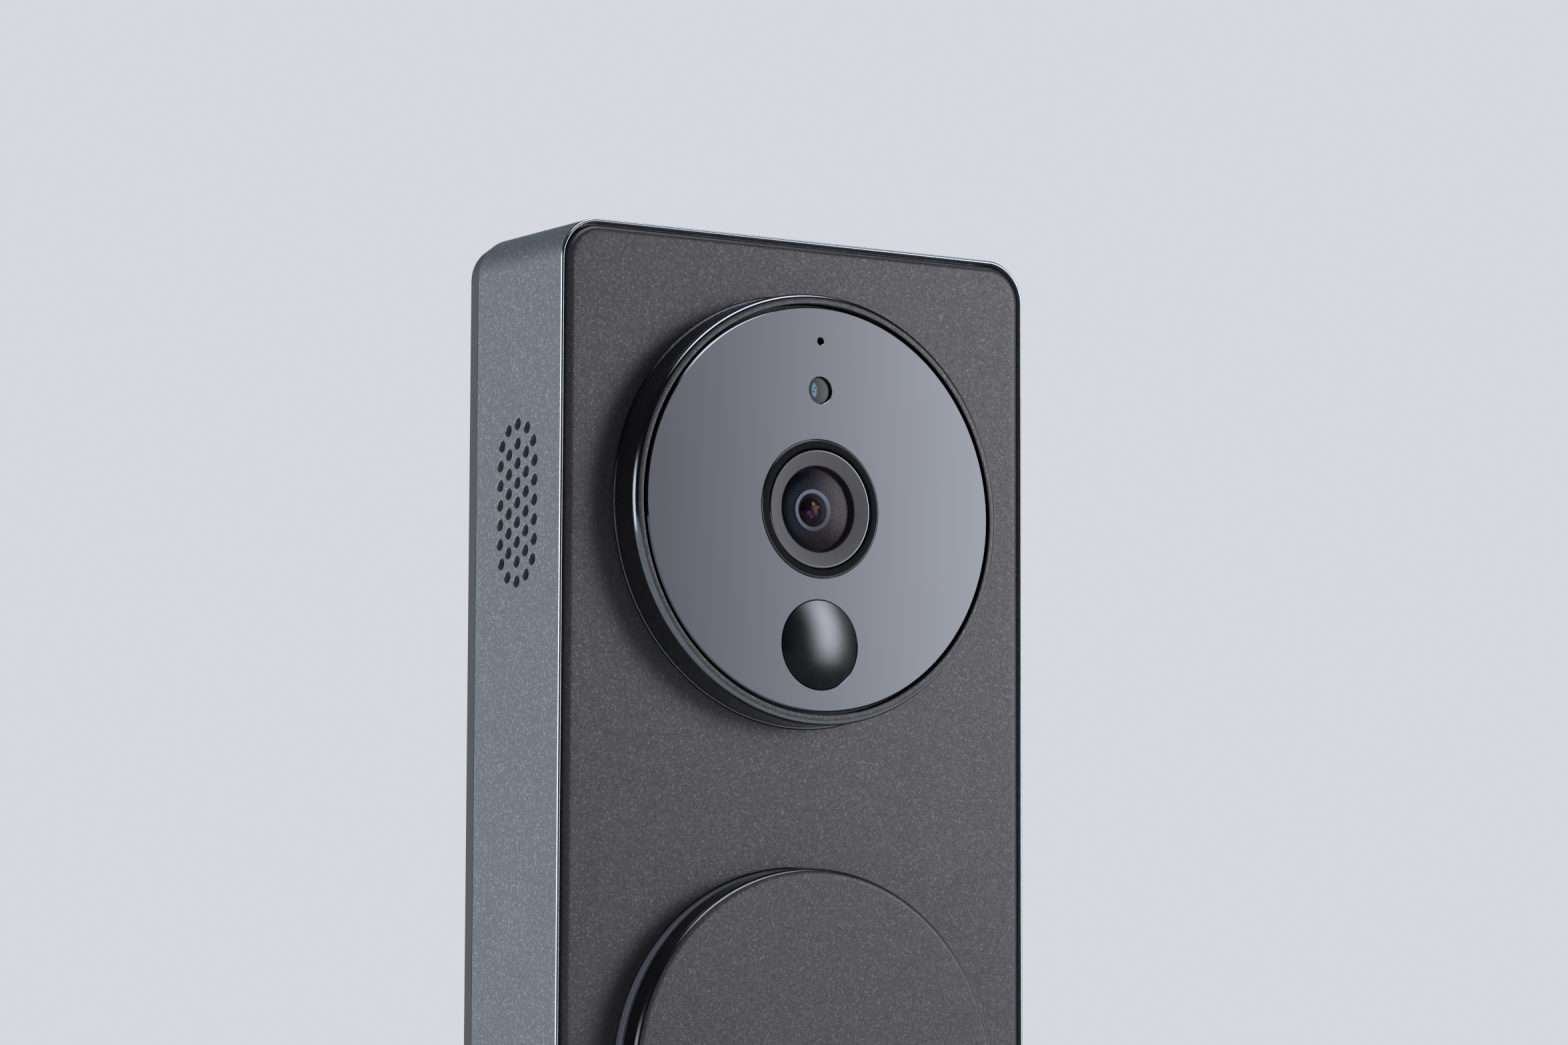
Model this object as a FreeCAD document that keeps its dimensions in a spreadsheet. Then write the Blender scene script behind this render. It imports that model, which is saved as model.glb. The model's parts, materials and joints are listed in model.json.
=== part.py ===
"""Battery video doorbell on its wall plate, as a parametric model in millimetres.

Frame of the part: the origin is the middle of the wall face, +Z is up, +Y points into the wall
and the front of the doorbell looks along -Y. "Depth" below always means the distance in front
of the wall, which is -Y, so the wall is depth 0 and the camera panel has the largest depth.
Every size that can be set by itself is a cell of the sheet; MEASURES works the rest out.
"""

import FreeCAD, Part
import math
import os
import re
import Sketcher

SIZES = {
    # case
    "case_wide": (65.0, "width of the case"),
    "case_high": (140.0, "height of the case"),
    "case_corner": (5.0, "outer corner radius of the case"),
    "wall_gap": (0.5, "air between the rear cover and the wall"),
    "band_deep": (2.5, "visible band of the rear cover behind the frame"),
    "band_step": (0.05, "how far the band stands inside the frame's outline"),
    "band_angle": (11.3, "taper of the band, degrees"),
    "frame_deep": (19.3, "depth of the side frame"),
    "frame_wall": (1.6, "wall of the side frame"),
    "frame_edge": (0.25, "softened edges of the side frame"),
    "frame_boss_long": (6.0, "screw boss in a corner of the frame"),
    "frame_boss_blend": (0.2, "overlap of that boss with the frame's wall"),
    "blind_end": (0.6, "solid end of a blind hole"),
    "lip_wall": (0.35, "thin lip of the frame round the front plate"),
    "ledge_wall": (3.0, "ledge that the front plate sits on, from the outside"),
    "ledge_thick": (1.6, "thickness of that ledge"),
    "seal_thick": (0.65, "front seal"),
    "seal_wide": (1.6, "width of the front seal"),
    # front plate
    "plate_thick": (1.6, "front plate"),
    "plate_proud": (0.25, "front plate ahead of the frame's edge"),
    "plate_gap": (0.35, "dark gap round the front plate"),
    "plate_roll": (0.9, "rolled edge of the front plate"),
    "round_gap": (0.15, "gap between the front plate and the round parts in it"),
    # turret
    "turret_drop": (32.5, "top of the case to the turret's centre"),
    "turret_radius": (25.4, "radius of the turret wall"),
    "turret_rise": (4.9, "turret face ahead of the frame's edge"),
    "turret_roll": (0.85, "rolled edge of the turret"),
    "turret_wall": (1.2, "wall of the turret ring"),
    "flange_over": (1.6, "flange of a round part under the front plate"),
    "flange_thick": (1.45, "thickness of that flange"),
    "shoulder_wide": (1.4, "inner shoulder of the turret ring"),
    "shoulder_thick": (1.5, "thickness of that shoulder"),
    "snug_gap": (0.1, "clearance round a seated part"),
    "hair_gap": (0.05, "thinnest clearance, between small seated parts"),
    "air_gap": (0.2, "air left beside a part that nothing touches"),
    "window_gap": (0.4, "dark gap round the camera panel"),
    "window_thick": (1.0, "camera panel"),
    "window_edge": (0.15, "chamfer of the camera panel"),
    "tape_thick": (0.2, "ring of tape under the camera panel"),
    "tape_wide": (1.6, "width of the tape ring"),
    "carrier_web": (1.4, "front web of the carrier"),
    "carrier_wall": (1.2, "wall of the carrier"),
    # lens
    "bezel_radius": (8.12, "outer radius of the lens bezel"),
    "bezel_proud": (0.15, "lens bezel ahead of the panel"),
    "bezel_flange": (0.9, "flange of the bezel under the panel"),
    "bezel_edge": (0.2, "softened edge of the bezel"),
    "bezel_seat": (0.5, "seat in the bezel for the grey ring"),
    "annulus_radius": (6.9, "outer radius of the grey ring in the bezel"),
    "annulus_sink": (0.2, "outer edge of the grey ring behind the panel face"),
    "annulus_slope": (0.55, "fall of the grey ring towards the lens"),
    "annulus_back": (2.0, "back of the grey ring behind the panel face"),
    "lens_radius": (5.03, "front lens"),
    "lens_sink": (1.0, "rim of the front lens behind the panel face"),
    "lens_crown": (0.65, "crown of the front lens"),
    "barrel_radius": (4.9, "lens barrel"),
    "barrel_bore": (4.2, "bore of the lens barrel"),
    "barrel_long": (4.4, "length of the lens barrel"),
    "stop_radius": (1.9, "aperture in the lens barrel"),
    "stop_thick": (0.5, "thickness of the aperture plate"),
    "element_radius": (4.1, "inner lens element"),
    "element_thick": (1.0, "inner lens element at its rim"),
    "element_crown": (0.6, "crown of the inner lens element"),
    "holder_wide": (14.0, "lens holder"),
    "holder_high": (4.2, "height of the lens holder"),
    "holder_corner": (2.0, "corner of the lens holder"),
    "imager_wide": (7.0, "image sensor"),
    "imager_high": (5.6, "height of the image sensor"),
    "imager_thick": (0.9, "thickness of the image sensor"),
    # motion sensor, light sensor, microphone, infrared lights
    "pir_drop": (16.0, "motion sensor below the lens"),
    "pir_radius": (5.2, "motion sensor dome"),
    "pir_rise": (0.8, "crown of the dome ahead of the panel"),
    "pir_flange": (1.2, "flange of the dome"),
    "pir_flange_thick": (1.0, "thickness of that flange"),
    "pir_skin": (0.8, "wall of the dome"),
    "pir_can_radius": (3.6, "motion sensor can"),
    "pir_can_high": (3.4, "height of the motion sensor can"),
    "pir_brim": (0.4, "brim at the foot of the can, both ways"),
    "pir_filter_wide": (3.6, "filter window of the motion sensor"),
    "pir_filter_high": (2.9, "height of the filter window"),
    "pir_filter_sink": (0.3, "depth of the filter window"),
    "light_rise": (14.0, "light sensor above the lens"),
    "light_radius": (1.6, "hole of the light sensor"),
    "light_chip": (2.0, "light sensor chip"),
    "light_chip_thick": (0.9, "thickness of the light sensor chip"),
    "mic_rise": (19.8, "microphone above the lens"),
    "mic_radius": (0.45, "microphone hole"),
    "mic_wide": (3.4, "microphone"),
    "mic_high": (2.4, "height of the microphone on its board"),
    "mic_thick": (1.1, "thickness of the microphone"),
    "boot_radius": (1.5, "rubber boot of the microphone"),
    "infrared_ring": (12.2, "circle of the infrared lights"),
    "infrared_radius": (1.25, "infrared light"),
    "infrared_high": (2.4, "height of an infrared light"),
    "infrared_step": (40.0, "angle between infrared lights, degrees"),
    "camera_board_radius": (21.5, "camera board"),
    "camera_board_drop": (0.3, "camera board behind the turret ring's flange"),
    "camera_screw_across": (15.0, "camera board screw, sideways"),
    "camera_screw_up": (10.5, "camera board screw, upwards"),
    "boss_radius": (2.0, "screw boss of the carrier"),
    # button
    "button_rise": (40.5, "bottom of the case to the button's centre"),
    "button_radius": (25.0, "button cap"),
    "button_roll": (0.95, "rolled edge of the button cap"),
    "button_thick": (1.6, "face of the button cap"),
    "button_travel": (0.45, "travel of the button"),
    "button_spare": (0.1, "gap left under the pressed button"),
    "ring_rise": (1.3, "light ring ahead of the frame's edge"),
    "ring_wall": (1.6, "wall of the light ring"),
    "slide_gap": (0.3, "clearance round a sliding part"),
    "skirt_wall": (1.1, "skirt of the button cap"),
    "skirt_flange": (1.3, "flange at the foot of the skirt"),
    "skirt_foot": (1.2, "thickness of that flange"),
    "plunger_radius": (3.0, "plunger under the button cap"),
    "plunger_brim": (1.5, "brim of the plunger against the cap"),
    "plunger_brim_thick": (0.8, "thickness of that brim"),
    "switch_wide": (6.0, "push switch"),
    "switch_high": (3.3, "height of the push switch"),
    "switch_corner": (0.5, "corner of the push switch"),
    "switch_well": (1.2, "well of the stem in the push switch"),
    "stem_sink": (0.4, "stem inside its well at rest"),
    "stem_radius": (1.6, "stem of the push switch"),
    "stem_high": (1.5, "stem above the push switch"),
    "guide_wall": (1.0, "wall of the button guide"),
    "guide_gap": (0.2, "light ring board inside the guide"),
    "guide_floor": (1.0, "floor of the button guide"),
    "guide_hole": (4.6, "hole for the push switch in the guide"),
    "foot_radius": (1.5, "foot of the button guide"),
    "foot_ring": (19.0, "circle of the guide's feet"),
    "led_board_thick": (1.0, "light ring board"),
    "led_board_over": (1.2, "light ring board beyond the light ring's flange"),
    "led_inset": (0.9, "middle of a light inside the light ring's flange"),
    "led_wide": (2.4, "light of the ring"),
    "led_deep": (1.2, "radial size of a light"),
    "led_high": (0.7, "height of a light"),
    "led_count": (12.0, "lights of the ring"),
    "spring_radius": (6.0, "button spring"),
    "spring_wire": (0.6, "wire of the button spring"),
    "spring_turns": (4.0, "turns of the button spring"),
    # rear cover
    "spigot_deep": (3.6, "rear cover inside the frame"),
    "spigot_wall": (1.4, "wall of the spigot"),
    "recess_deep": (2.3, "recess for the wall plate"),
    "rim_wide": (8.0, "rim round the recess"),
    "recess_corner": (3.0, "corner of the recess"),
    "floor_thick": (1.6, "floor of the rear cover"),
    "groove_deep": (0.6, "groove of the rear seal"),
    "groove_wide": (1.2, "width of the groove of the rear seal"),
    "groove_from": (1.0, "groove in front of the case's seam"),
    "corner_screw_radius": (1.0, "rear cover screw"),
    "corner_head_radius": (1.9, "head of a rear cover screw"),
    "corner_head_thick": (1.2, "thickness of that head"),
    "corner_socket": (0.95, "socket in that head"),
    "corner_screw_long": (8.6, "rear cover screw under its head"),
    "counterbore_deep": (1.5, "counterbore of a rear cover screw"),
    "screw_gap": (0.15, "clearance round a screw"),
    # wall plate and its hooks
    "base_thick": (2.4, "wall plate"),
    "base_gap": (1.0, "wall plate inside the recess"),
    "base_corner": (2.0, "corner of the wall plate"),
    "lift_travel": (6.0, "lift that frees the doorbell from its hooks"),
    "lift_spare": (1.5, "gap left under the recess after the lift"),
    "hook_across": (18.5, "hook, sideways from the middle"),
    "hook_top_drop": (28.0, "top of the case to the upper hooks"),
    "hook_low_rise": (19.5, "bottom of the case to the lower hooks"),
    "hook_wide": (6.0, "width of a hook"),
    "hook_thick": (2.5, "height of a hook's stem"),
    "hook_tip": (5.5, "tip of a hook above its stem"),
    "hook_blade": (1.5, "thickness of a hook's tip"),
    "pocket_wall": (1.0, "wall of a hook pocket"),
    "wire_wide": (26.0, "wire opening of the wall plate"),
    "wire_high": (30.0, "height of the wire opening"),
    "wire_up": (1.0, "middle of the wire opening"),
    "wall_hole_radius": (2.2, "hole for a wall screw"),
    "wall_hole_sink": (4.2, "countersink of that hole"),
    "wall_hole_deep": (1.4, "depth of the countersink"),
    "wall_hole_spacing": (88.0, "distance between the wall screws"),
    "lip_wide": (11.0, "foot lip of the wall plate"),
    "lip_thick": (1.8, "thickness of the foot lip"),
    "lip_deep": (10.4, "how far the foot lip reaches forwards"),
    "lock_deep": (7.4, "lock screw in front of the wall"),
    "lock_radius": (1.2, "lock screw"),
    "lock_head": (2.6, "head of the lock screw"),
    "lock_head_thick": (1.0, "thickness of that head"),
    "lock_long": (6.4, "lock screw above its head"),
    "lock_block": (7.5, "height of the block that holds the insert"),
    "lock_slot_wide": (2.6, "slot in the lock screw"),
    "lock_slot_high": (0.65, "width of that slot"),
    "lock_slot_deep": (0.5, "depth of that slot"),
    "insert_long": (6.0, "threaded insert"),
    "insert_radius": (2.1, "threaded insert"),
    "fit_gap": (0.06, "running fit of a pin or screw"),
    # electronics on the main board
    "board_wide": (46.0, "main board"),
    "board_thick": (1.2, "thickness of the main board"),
    "board_across": (3.0, "middle of the main board, sideways"),
    "board_margin": (5.0, "end of the main board from the end of the case"),
    "board_corner": (3.0, "corner of the main board"),
    "board_stand": (10.1, "main board in front of the rear cover's floor"),
    "stand_across": (18.0, "standoff from the middle of the board"),
    "stand_top_drop": (12.5, "top of the case to the upper standoffs"),
    "stand_low_rise": (8.8, "bottom of the case to the lower standoffs"),
    "stand_radius": (2.2, "standoff"),
    "small_screw_radius": (0.8, "small screw"),
    "small_head_radius": (1.5, "head of a small screw"),
    "small_head_thick": (0.9, "thickness of a small head"),
    "small_screw_long": (4.0, "small screw under its head"),
    "small_drive": (1.5, "cross drive of a small screw"),
    "small_drive_slot": (0.3, "width of the cross drive"),
    "shield_wide": (24.0, "processor shield"),
    "shield_high": (12.0, "height of the processor shield"),
    "shield_thick": (1.7, "thickness of the processor shield"),
    "shield_drop": (30.0, "processor shield below the turret's centre"),
    "shield_corner": (0.6, "corner of the processor shield"),
    "shield_metal": (0.2, "metal of the processor shield"),
    "shield_edge": (0.15, "folded edge of the processor shield"),
    "chip_wide": (8.0, "memory chip"),
    "chip_thick": (1.0, "thickness of a memory chip"),
    "chip_step": (12.0, "distance between memory chips"),
    "chip_rise": (12.0, "memory chips above the turret's centre"),
    "antenna_wide": (24.0, "antenna"),
    "antenna_high": (5.0, "height of the antenna"),
    "antenna_thick": (0.8, "thickness of the antenna"),
    "antenna_margin": (1.0, "antenna from the end of the main board"),
    "link_wide": (12.0, "board connector"),
    "link_high": (4.0, "height of the board connector"),
    "link_drop": (9.0, "board connector below the turret's centre"),
    # battery
    "battery_wide": (46.0, "battery pack"),
    "battery_thick": (8.0, "thickness of the battery pack"),
    "battery_corner": (3.0, "corner of the battery pack"),
    "battery_edge": (1.2, "softened edges of the battery pack"),
    "tray_wall": (0.8, "wall of the battery tray"),
    "tray_floor": (0.6, "floor of the battery tray"),
    "tray_deep": (4.0, "depth of the battery tray"),
    "battery_ease": (0.2, "air round the battery pack"),
    "contact_wide": (12.0, "battery contacts"),
    "contact_high": (4.0, "height of the battery contacts"),
    "contact_drop": (8.0, "battery contacts below the top of the tray"),
    # ports at the back
    "port_drop": (8.4, "ports below the turret's centre"),
    "port_gap": (6.0, "middle of the ports above the battery tray"),
    "port_across": (12.0, "reset button and tamper pin from the middle"),
    "usb_wide": (9.0, "charging socket"),
    "usb_high": (3.3, "height of the charging socket"),
    "usb_skin": (0.4, "wall of the charging socket"),
    "usb_sink": (0.2, "mouth of the socket behind the recess floor"),
    "usb_bore": (6.0, "depth of the socket's mouth"),
    "usb_tongue": (6.3, "tongue in the socket"),
    "usb_tongue_high": (0.7, "height of the tongue"),
    "usb_tongue_sink": (0.8, "tongue behind the mouth"),
    "pin_radius": (1.5, "reset button and tamper pin"),
    "pin_flange": (2.4, "flange of a pin"),
    "pin_flange_thick": (0.8, "thickness of that flange"),
    "pin_travel": (0.5, "travel of a pin"),
    "pin_reach": (4.6, "pin in front of the rear cover's floor"),
    "pin_sink": (0.2, "reset button behind the recess floor"),
    "pin_rest_gap": (0.05, "tamper pin off the wall plate"),
    "switch_small": (5.0, "small switch behind a pin"),
    "pin_spring_turns": (4.0, "turns of a pin's spring"),
    "pin_spring_radius": (2.0, "spring of a pin"),
    "pin_spring_wire": (0.35, "wire of that spring"),
    "terminal_across": (6.5, "terminal from the middle"),
    "terminal_up": (-6.0, "terminals, upwards from the middle"),
    "terminal_wide": (8.0, "terminal plate"),
    "terminal_high": (9.0, "height of a terminal plate"),
    "terminal_thick": (0.8, "thickness of a terminal plate"),
    "terminal_corner": (1.0, "corner of a terminal plate"),
    "terminal_slot": (0.8, "slot of a terminal screw"),
    "terminal_skin": (0.4, "rear cover left under a terminal screw"),
    "terminal_head": (2.8, "head of a terminal screw"),
    "terminal_head_thick": (1.1, "thickness of that head"),
    "terminal_screw": (1.5, "terminal screw"),
    # speaker and its grille in the left wall
    "grille_deep": (9.75, "grille behind the frame's front edge"),
    "grille_hole": (0.675, "radius of a grille hole"),
    "grille_row": (2.3, "grille rows"),
    "grille_column": (1.93, "grille columns"),
    "grille_end": (5.34, "centre of the grille's round ends"),
    "grille_step": (33.0, "angle between holes in the round ends, degrees"),
    "speaker_long": (24.0, "speaker"),
    "speaker_deep": (11.6, "front-to-back size of the speaker"),
    "speaker_thick": (5.0, "thickness of the speaker"),
    "speaker_corner": (2.0, "corner of the speaker"),
    "cone_margin": (1.7, "rim of the speaker outside its cone"),
    "cone_rise": (0.35, "cone ahead of the speaker's rim"),
    "speaker_rim": (1.2, "width of the speaker gasket"),
    "gasket_thick": (0.7, "speaker gasket"),
    "mesh_thick": (0.2, "acoustic mesh"),
}

MEASURES = {
    "half_wide": "case_wide / 2",
    "half_high": "case_high / 2",
    # depths, from the wall forwards
    "cover_back": "wall_gap",
    "cover_seam": "wall_gap + band_deep",
    "frame_front": "cover_seam + frame_deep",
    "floor_back": "cover_back + recess_deep",
    "floor_front": "floor_back + floor_thick",
    "spigot_front": "cover_seam + spigot_deep",
    "plate_front": "frame_front + plate_proud",
    "plate_back": "plate_front - plate_thick",
    "ledge_front": "plate_back - seal_thick",
    "ledge_back": "ledge_front - ledge_thick",
    "flange_back": "plate_back - flange_thick",
    "turret_front": "frame_front + turret_rise",
    "window_back": "turret_front - window_thick",
    "carrier_front": "window_back - tape_thick",
    "web_back": "carrier_front - carrier_web",
    "shoulder_front": "flange_back + shoulder_thick",
    "camera_board_front": "flange_back - camera_board_drop",
    "camera_board_back": "camera_board_front - board_thick",
    "main_back": "floor_front + board_stand",
    "main_front": "main_back + board_thick",
    # heights and radii
    "turret_up": "half_high - turret_drop",
    "button_up": "button_rise - half_high",
    "inner_wall": "half_wide - frame_wall",
    "boss_back": "spigot_front + slide_gap",
    "lip_slot": "lip_wide + 1",
    "seal_inset": "opening_inset + snug_gap",
    "spigot_inset": "frame_wall + snug_gap",
    "groove_inset": "spigot_inset + groove_deep",
    "groove_back": "cover_seam + groove_from",
    "groove_front": "groove_back + groove_wide",
    "screw_seat": "cover_back + counterbore_deep",
    "lip_top": "lip_thick - half_high",
    "barrel_front": "turret_front - annulus_back",
    "barrel_middle": "barrel_front - barrel_long / 2",
    "turret_bore": "turret_radius - turret_wall",
    "window_radius": "turret_bore - window_gap",
    "carrier_radius": "turret_bore - snug_gap",
    "opening_inset": "lip_wall + plate_gap",
    "corner_across": "half_wide - case_corner",
    "corner_up": "half_high - case_corner",
    "corner_boss": "case_corner - frame_wall + frame_boss_blend",
    # button
    "ring_front": "frame_front + ring_rise",
    "cap_step": "ring_front + button_travel + button_spare",
    "ring_bore": "button_radius - ring_wall",
    "skirt_radius": "ring_bore - slide_gap",
    "foot_front": "flange_back",
    "foot_back": "foot_front - skirt_foot",
    "cap_under": "turret_front - button_thick",
    "led_board_radius": "button_radius + flange_over + led_board_over",
    "led_board_bore": "skirt_radius + skirt_flange + slide_gap",
    "led_board_front": "flange_back - led_high - hair_gap",
    "led_board_back": "led_board_front - led_board_thick",
    "guide_radius": "led_board_radius + guide_gap + guide_wall",
    "guide_floor_front": "foot_back - button_travel - round_gap",
    "guide_floor_back": "guide_floor_front - guide_floor",
    "switch_front": "main_front + switch_high",
    "stem_front": "switch_front + stem_high",
    # wall plate
    "base_wide": "case_wide - 2 * rim_wide - 2 * base_gap",
    "base_top": "half_high - rim_wide - base_gap",
    "base_bottom": "rim_wide + lift_travel + lift_spare - half_high",
    "base_high": "base_top - base_bottom",
    "base_middle": "(base_top + base_bottom) / 2",
    "hook_top": "half_high - hook_top_drop",
    "hook_low": "hook_low_rise - half_high",
    "hook_front": "floor_front + slide_gap + hook_blade",
    "slot_high": "hook_thick + lift_travel + 2 * slide_gap",
    "slot_shift": "hook_thick / 2 - lift_travel / 2",
    "hollow_high": "slot_high + hook_tip",
    "hollow_shift": "slot_shift + hook_tip / 2",
    "hollow_front": "hook_front + slide_gap",
    "lock_head_top": "lock_head_thick + snug_gap - half_high",
    "lock_up": "lip_thick + air_gap - half_high",
    # battery, between the hook pockets
    "pocket_top": "hook_low + hook_thick + hook_tip + slide_gap + pocket_wall",
    "tray_bottom": "pocket_top + slide_gap + air_gap",
    "tray_top": "port_up - port_gap",
    "tray_high": "tray_top - tray_bottom",
    "tray_middle": "(tray_top + tray_bottom) / 2",
    "battery_high": "tray_high - 2 * tray_wall - 2 * battery_ease",
    "battery_back": "floor_front + tray_floor",
    "battery_front": "battery_back + battery_thick",
    "port_up": "turret_up - port_drop",
    "pin_front": "floor_front + pin_reach",
    "switch_back": "pin_front + pin_travel + snug_gap",
    # speaker
    "grille_middle": "frame_front - grille_deep",
    "mesh_face": "inner_wall",
    "gasket_face": "mesh_face - mesh_thick",
    "speaker_face": "gasket_face - gasket_thick",
    "pir_sphere": "(pir_radius ^ 2 + pir_rise ^ 2) / (2 * pir_rise)",
    "lens_sphere": "(lens_radius ^ 2 + lens_crown ^ 2) / (2 * lens_crown)",
    "element_sphere": "(element_radius ^ 2 + element_crown ^ 2) / (2 * element_crown)",
}

CORNERS = [(-1, -1), (1, -1), (1, 1), (-1, 1)]
SIDES = (-1, 1)
FINE = 1e-6
ROUGH = 1e-4

doc = FreeCAD.newDocument("VideoDoorbell")
sheet = doc.addObject("Spreadsheet::Sheet", "Sizes")


# ---------------------------------------------------------------- sheet and expressions

def fill_sheet():
    """Writes each driving dimension as name, plain number and note, and names its cell."""
    for row, (name, (number, note)) in enumerate(SIZES.items(), start=1):
        sheet.set(f"A{row}", name)
        sheet.set(f"B{row}", str(number))
        sheet.set(f"C{row}", note)
        sheet.setAlias(f"B{row}", name)
    doc.recompute()


def linked(text):
    """Rewrites a size in words as an expression that refers to the sheet's cells."""
    def swap(match):
        word = match.group(0)
        if word in MEASURES:
            return "(" + linked(MEASURES[word]) + ")"
        if word in SIZES:
            return "Sizes." + word
        return word
    return re.sub(r"[a-z_]+", swap, text)


def size(text):
    """Gives the present value of a size in words."""
    return float(sheet.evalExpression(linked(text)))


def bind(thing, path, text):
    """Ties a property of a feature to a size in words."""
    thing.setExpression(path, linked(text))


# ---------------------------------------------------------------- sketches

def origin_plane(body, role):
    """Finds one of a body's own origin planes."""
    return next(item for item in body.Origin.OriginFeatures if item.Role == role)


def sketch_at(body, name, depth="0", across="0", up="0", role="XZ_Plane"):
    """Adds a sketch to a body, parallel to the wall at a depth, with its middle moved."""
    sketch = body.newObject("Sketcher::SketchObject", name)
    sketch.AttachmentSupport = [(origin_plane(body, role), "")]
    sketch.MapMode = "FlatFace"
    bind(sketch, "AttachmentOffset.Base.x", across)
    bind(sketch, "AttachmentOffset.Base.y", up)
    bind(sketch, "AttachmentOffset.Base.z", depth)
    return sketch


def hold(sketch, kind, *where, to):
    """Adds one dimension to a sketch and ties it to a size in words."""
    index = sketch.addConstraint(Sketcher.Constraint(kind, *where, size(to)))
    bind(sketch, f"Constraints[{index}]", to)


def hold_point(sketch, geometry, point, across, up):
    """Places a point from the sketch's origin, on an axis where its distance is nothing."""
    for kind, axis, text in (("DistanceX", -2, across), ("DistanceY", -1, up)):
        if text == "0":
            sketch.addConstraint(Sketcher.Constraint("PointOnObject", geometry, point, axis))
        else:
            hold(sketch, kind, -1, 1, geometry, point, to=text)


def circle(radius, across="0", up="0"):
    """Outline of a circle with its centre at a place in the sketch."""
    def draw(sketch):
        centre = FreeCAD.Vector(size(across), size(up), 0)
        index = sketch.addGeometry(Part.Circle(centre, FreeCAD.Vector(0, 0, 1), size(radius)))
        hold_point(sketch, index, 3, across, up)
        hold(sketch, "Radius", index, to=radius)
    return draw


def rectangle(wide, high):
    """Outline of a rectangle about the sketch's origin."""
    def draw(sketch):
        x, y = size(wide) / 2, size(high) / 2
        points = [FreeCAD.Vector(i * x, k * y, 0) for i, k in CORNERS]
        for start, end in zip(points, points[1:] + points[:1]):
            sketch.addGeometry(Part.LineSegment(start, end))
        first = sketch.GeometryCount - 4
        for side in range(4):
            following = first + (side + 1) % 4
            sketch.addConstraint(Sketcher.Constraint("Coincident", first + side, 2, following, 1))
            kind = "Horizontal" if side % 2 == 0 else "Vertical"
            sketch.addConstraint(Sketcher.Constraint(kind, first + side))
        sketch.addConstraint(Sketcher.Constraint("Symmetric", first, 1, first + 2, 1, -1, 1))
        hold(sketch, "DistanceX", first, 1, first, 2, to=wide)
        hold(sketch, "DistanceY", first + 1, 1, first + 1, 2, to=high)
    return draw


def rounded(wide, high, corner):
    """Outline of a rectangle with round corners about the sketch's origin."""
    def draw(sketch):
        x, y, r = size(wide) / 2, size(high) / 2, size(corner)
        first = sketch.GeometryCount
        for side, (i, k) in enumerate(CORNERS):
            turn = math.pi + side * math.pi / 2
            middle = FreeCAD.Vector(i * (x - r), k * (y - r), 0)
            round_edge = Part.Circle(middle, FreeCAD.Vector(0, 0, 1), r)
            sketch.addGeometry(Part.ArcOfCircle(round_edge, turn, turn + math.pi / 2))
        for side in range(4):
            start = sketch.getPoint(first + side, 2)
            end = sketch.getPoint(first + (side + 1) % 4, 1)
            line = sketch.addGeometry(Part.LineSegment(start, end))
            sketch.addConstraint(Sketcher.Constraint("Tangent", first + side, 2, line, 1))
            following = first + (side + 1) % 4
            sketch.addConstraint(Sketcher.Constraint("Tangent", line, 2, following, 1))
            kind = "Horizontal" if side % 2 == 0 else "Vertical"
            sketch.addConstraint(Sketcher.Constraint(kind, line))
        for side in range(1, 4):
            sketch.addConstraint(Sketcher.Constraint("Equal", first, first + side))
        hold(sketch, "Radius", first, to=corner)
        sketch.addConstraint(Sketcher.Constraint("Symmetric", first, 3, first + 2, 3, -1, 1))
        hold(sketch, "DistanceX", first, 1, first + 1, 2, to=wide)
        hold(sketch, "DistanceY", first, 2, first + 3, 1, to=high)
    return draw


def circles(radius, places):
    """Outline of equal circles at several places."""
    return together(*[circle(radius, *place) for place in places])


def together(*outlines):
    """Several outlines in one sketch."""
    def draw(sketch):
        for outline in outlines:
            outline(sketch)
    return draw


# ---------------------------------------------------------------- features

def new_body(label, up="0", across="0"):
    """Starts a body, with its place in the frame of the part."""
    body = doc.addObject("PartDesign::Body", label)
    body.Label = label
    bind(body, "Placement.Base.x", across)
    bind(body, "Placement.Base.z", up)
    return body


def tell_apart(body, kind):
    """Names the next feature of a body by its kind and number."""
    count = sum(1 for item in body.Group if item.Name.startswith(f"{body.Name}_{kind}"))
    return f"{body.Name}_{kind}_{count + 1}"


def slab(body, outline, back, front, across="0", up="0", angle="0"):
    """Pads an outline from one depth to another, towards the front."""
    name = tell_apart(body, "slab")
    sketch = sketch_at(body, name + "_sketch", back, across, up)
    outline(sketch)
    pad = body.newObject("PartDesign::Pad", name)
    pad.Profile = sketch
    bind(pad, "Length", f"({front}) - ({back})")
    bind(pad, "TaperAngle", angle)
    return pad


def cut(body, outline, back, front, across="0", up="0"):
    """Pockets an outline from one depth to another, and makes sure that it removes something."""
    doc.recompute()
    before = body.Shape.Volume
    name = tell_apart(body, "cut")
    sketch = sketch_at(body, name + "_sketch", back, across, up)
    outline(sketch)
    pocket = body.newObject("PartDesign::Pocket", name)
    pocket.Profile = sketch
    pocket.Reversed = True
    bind(pocket, "Length", f"({front}) - ({back})")
    doc.recompute()
    if body.Shape.Volume > before - FINE:
        raise RuntimeError(f"{name} removes nothing")
    return pocket


def arc_middle(start, end, radius):
    """Gives the middle of the shallow arc that bulges to the front between two points."""
    chord = end - start
    side = FreeCAD.Vector(-chord.y, chord.x, 0)
    if side.y < 0:
        side = side * -1
    side.normalize()
    sagitta = radius - math.sqrt(radius ** 2 - (chord.Length / 2) ** 2)
    return (start + end) * 0.5 + side * sagitta


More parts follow.
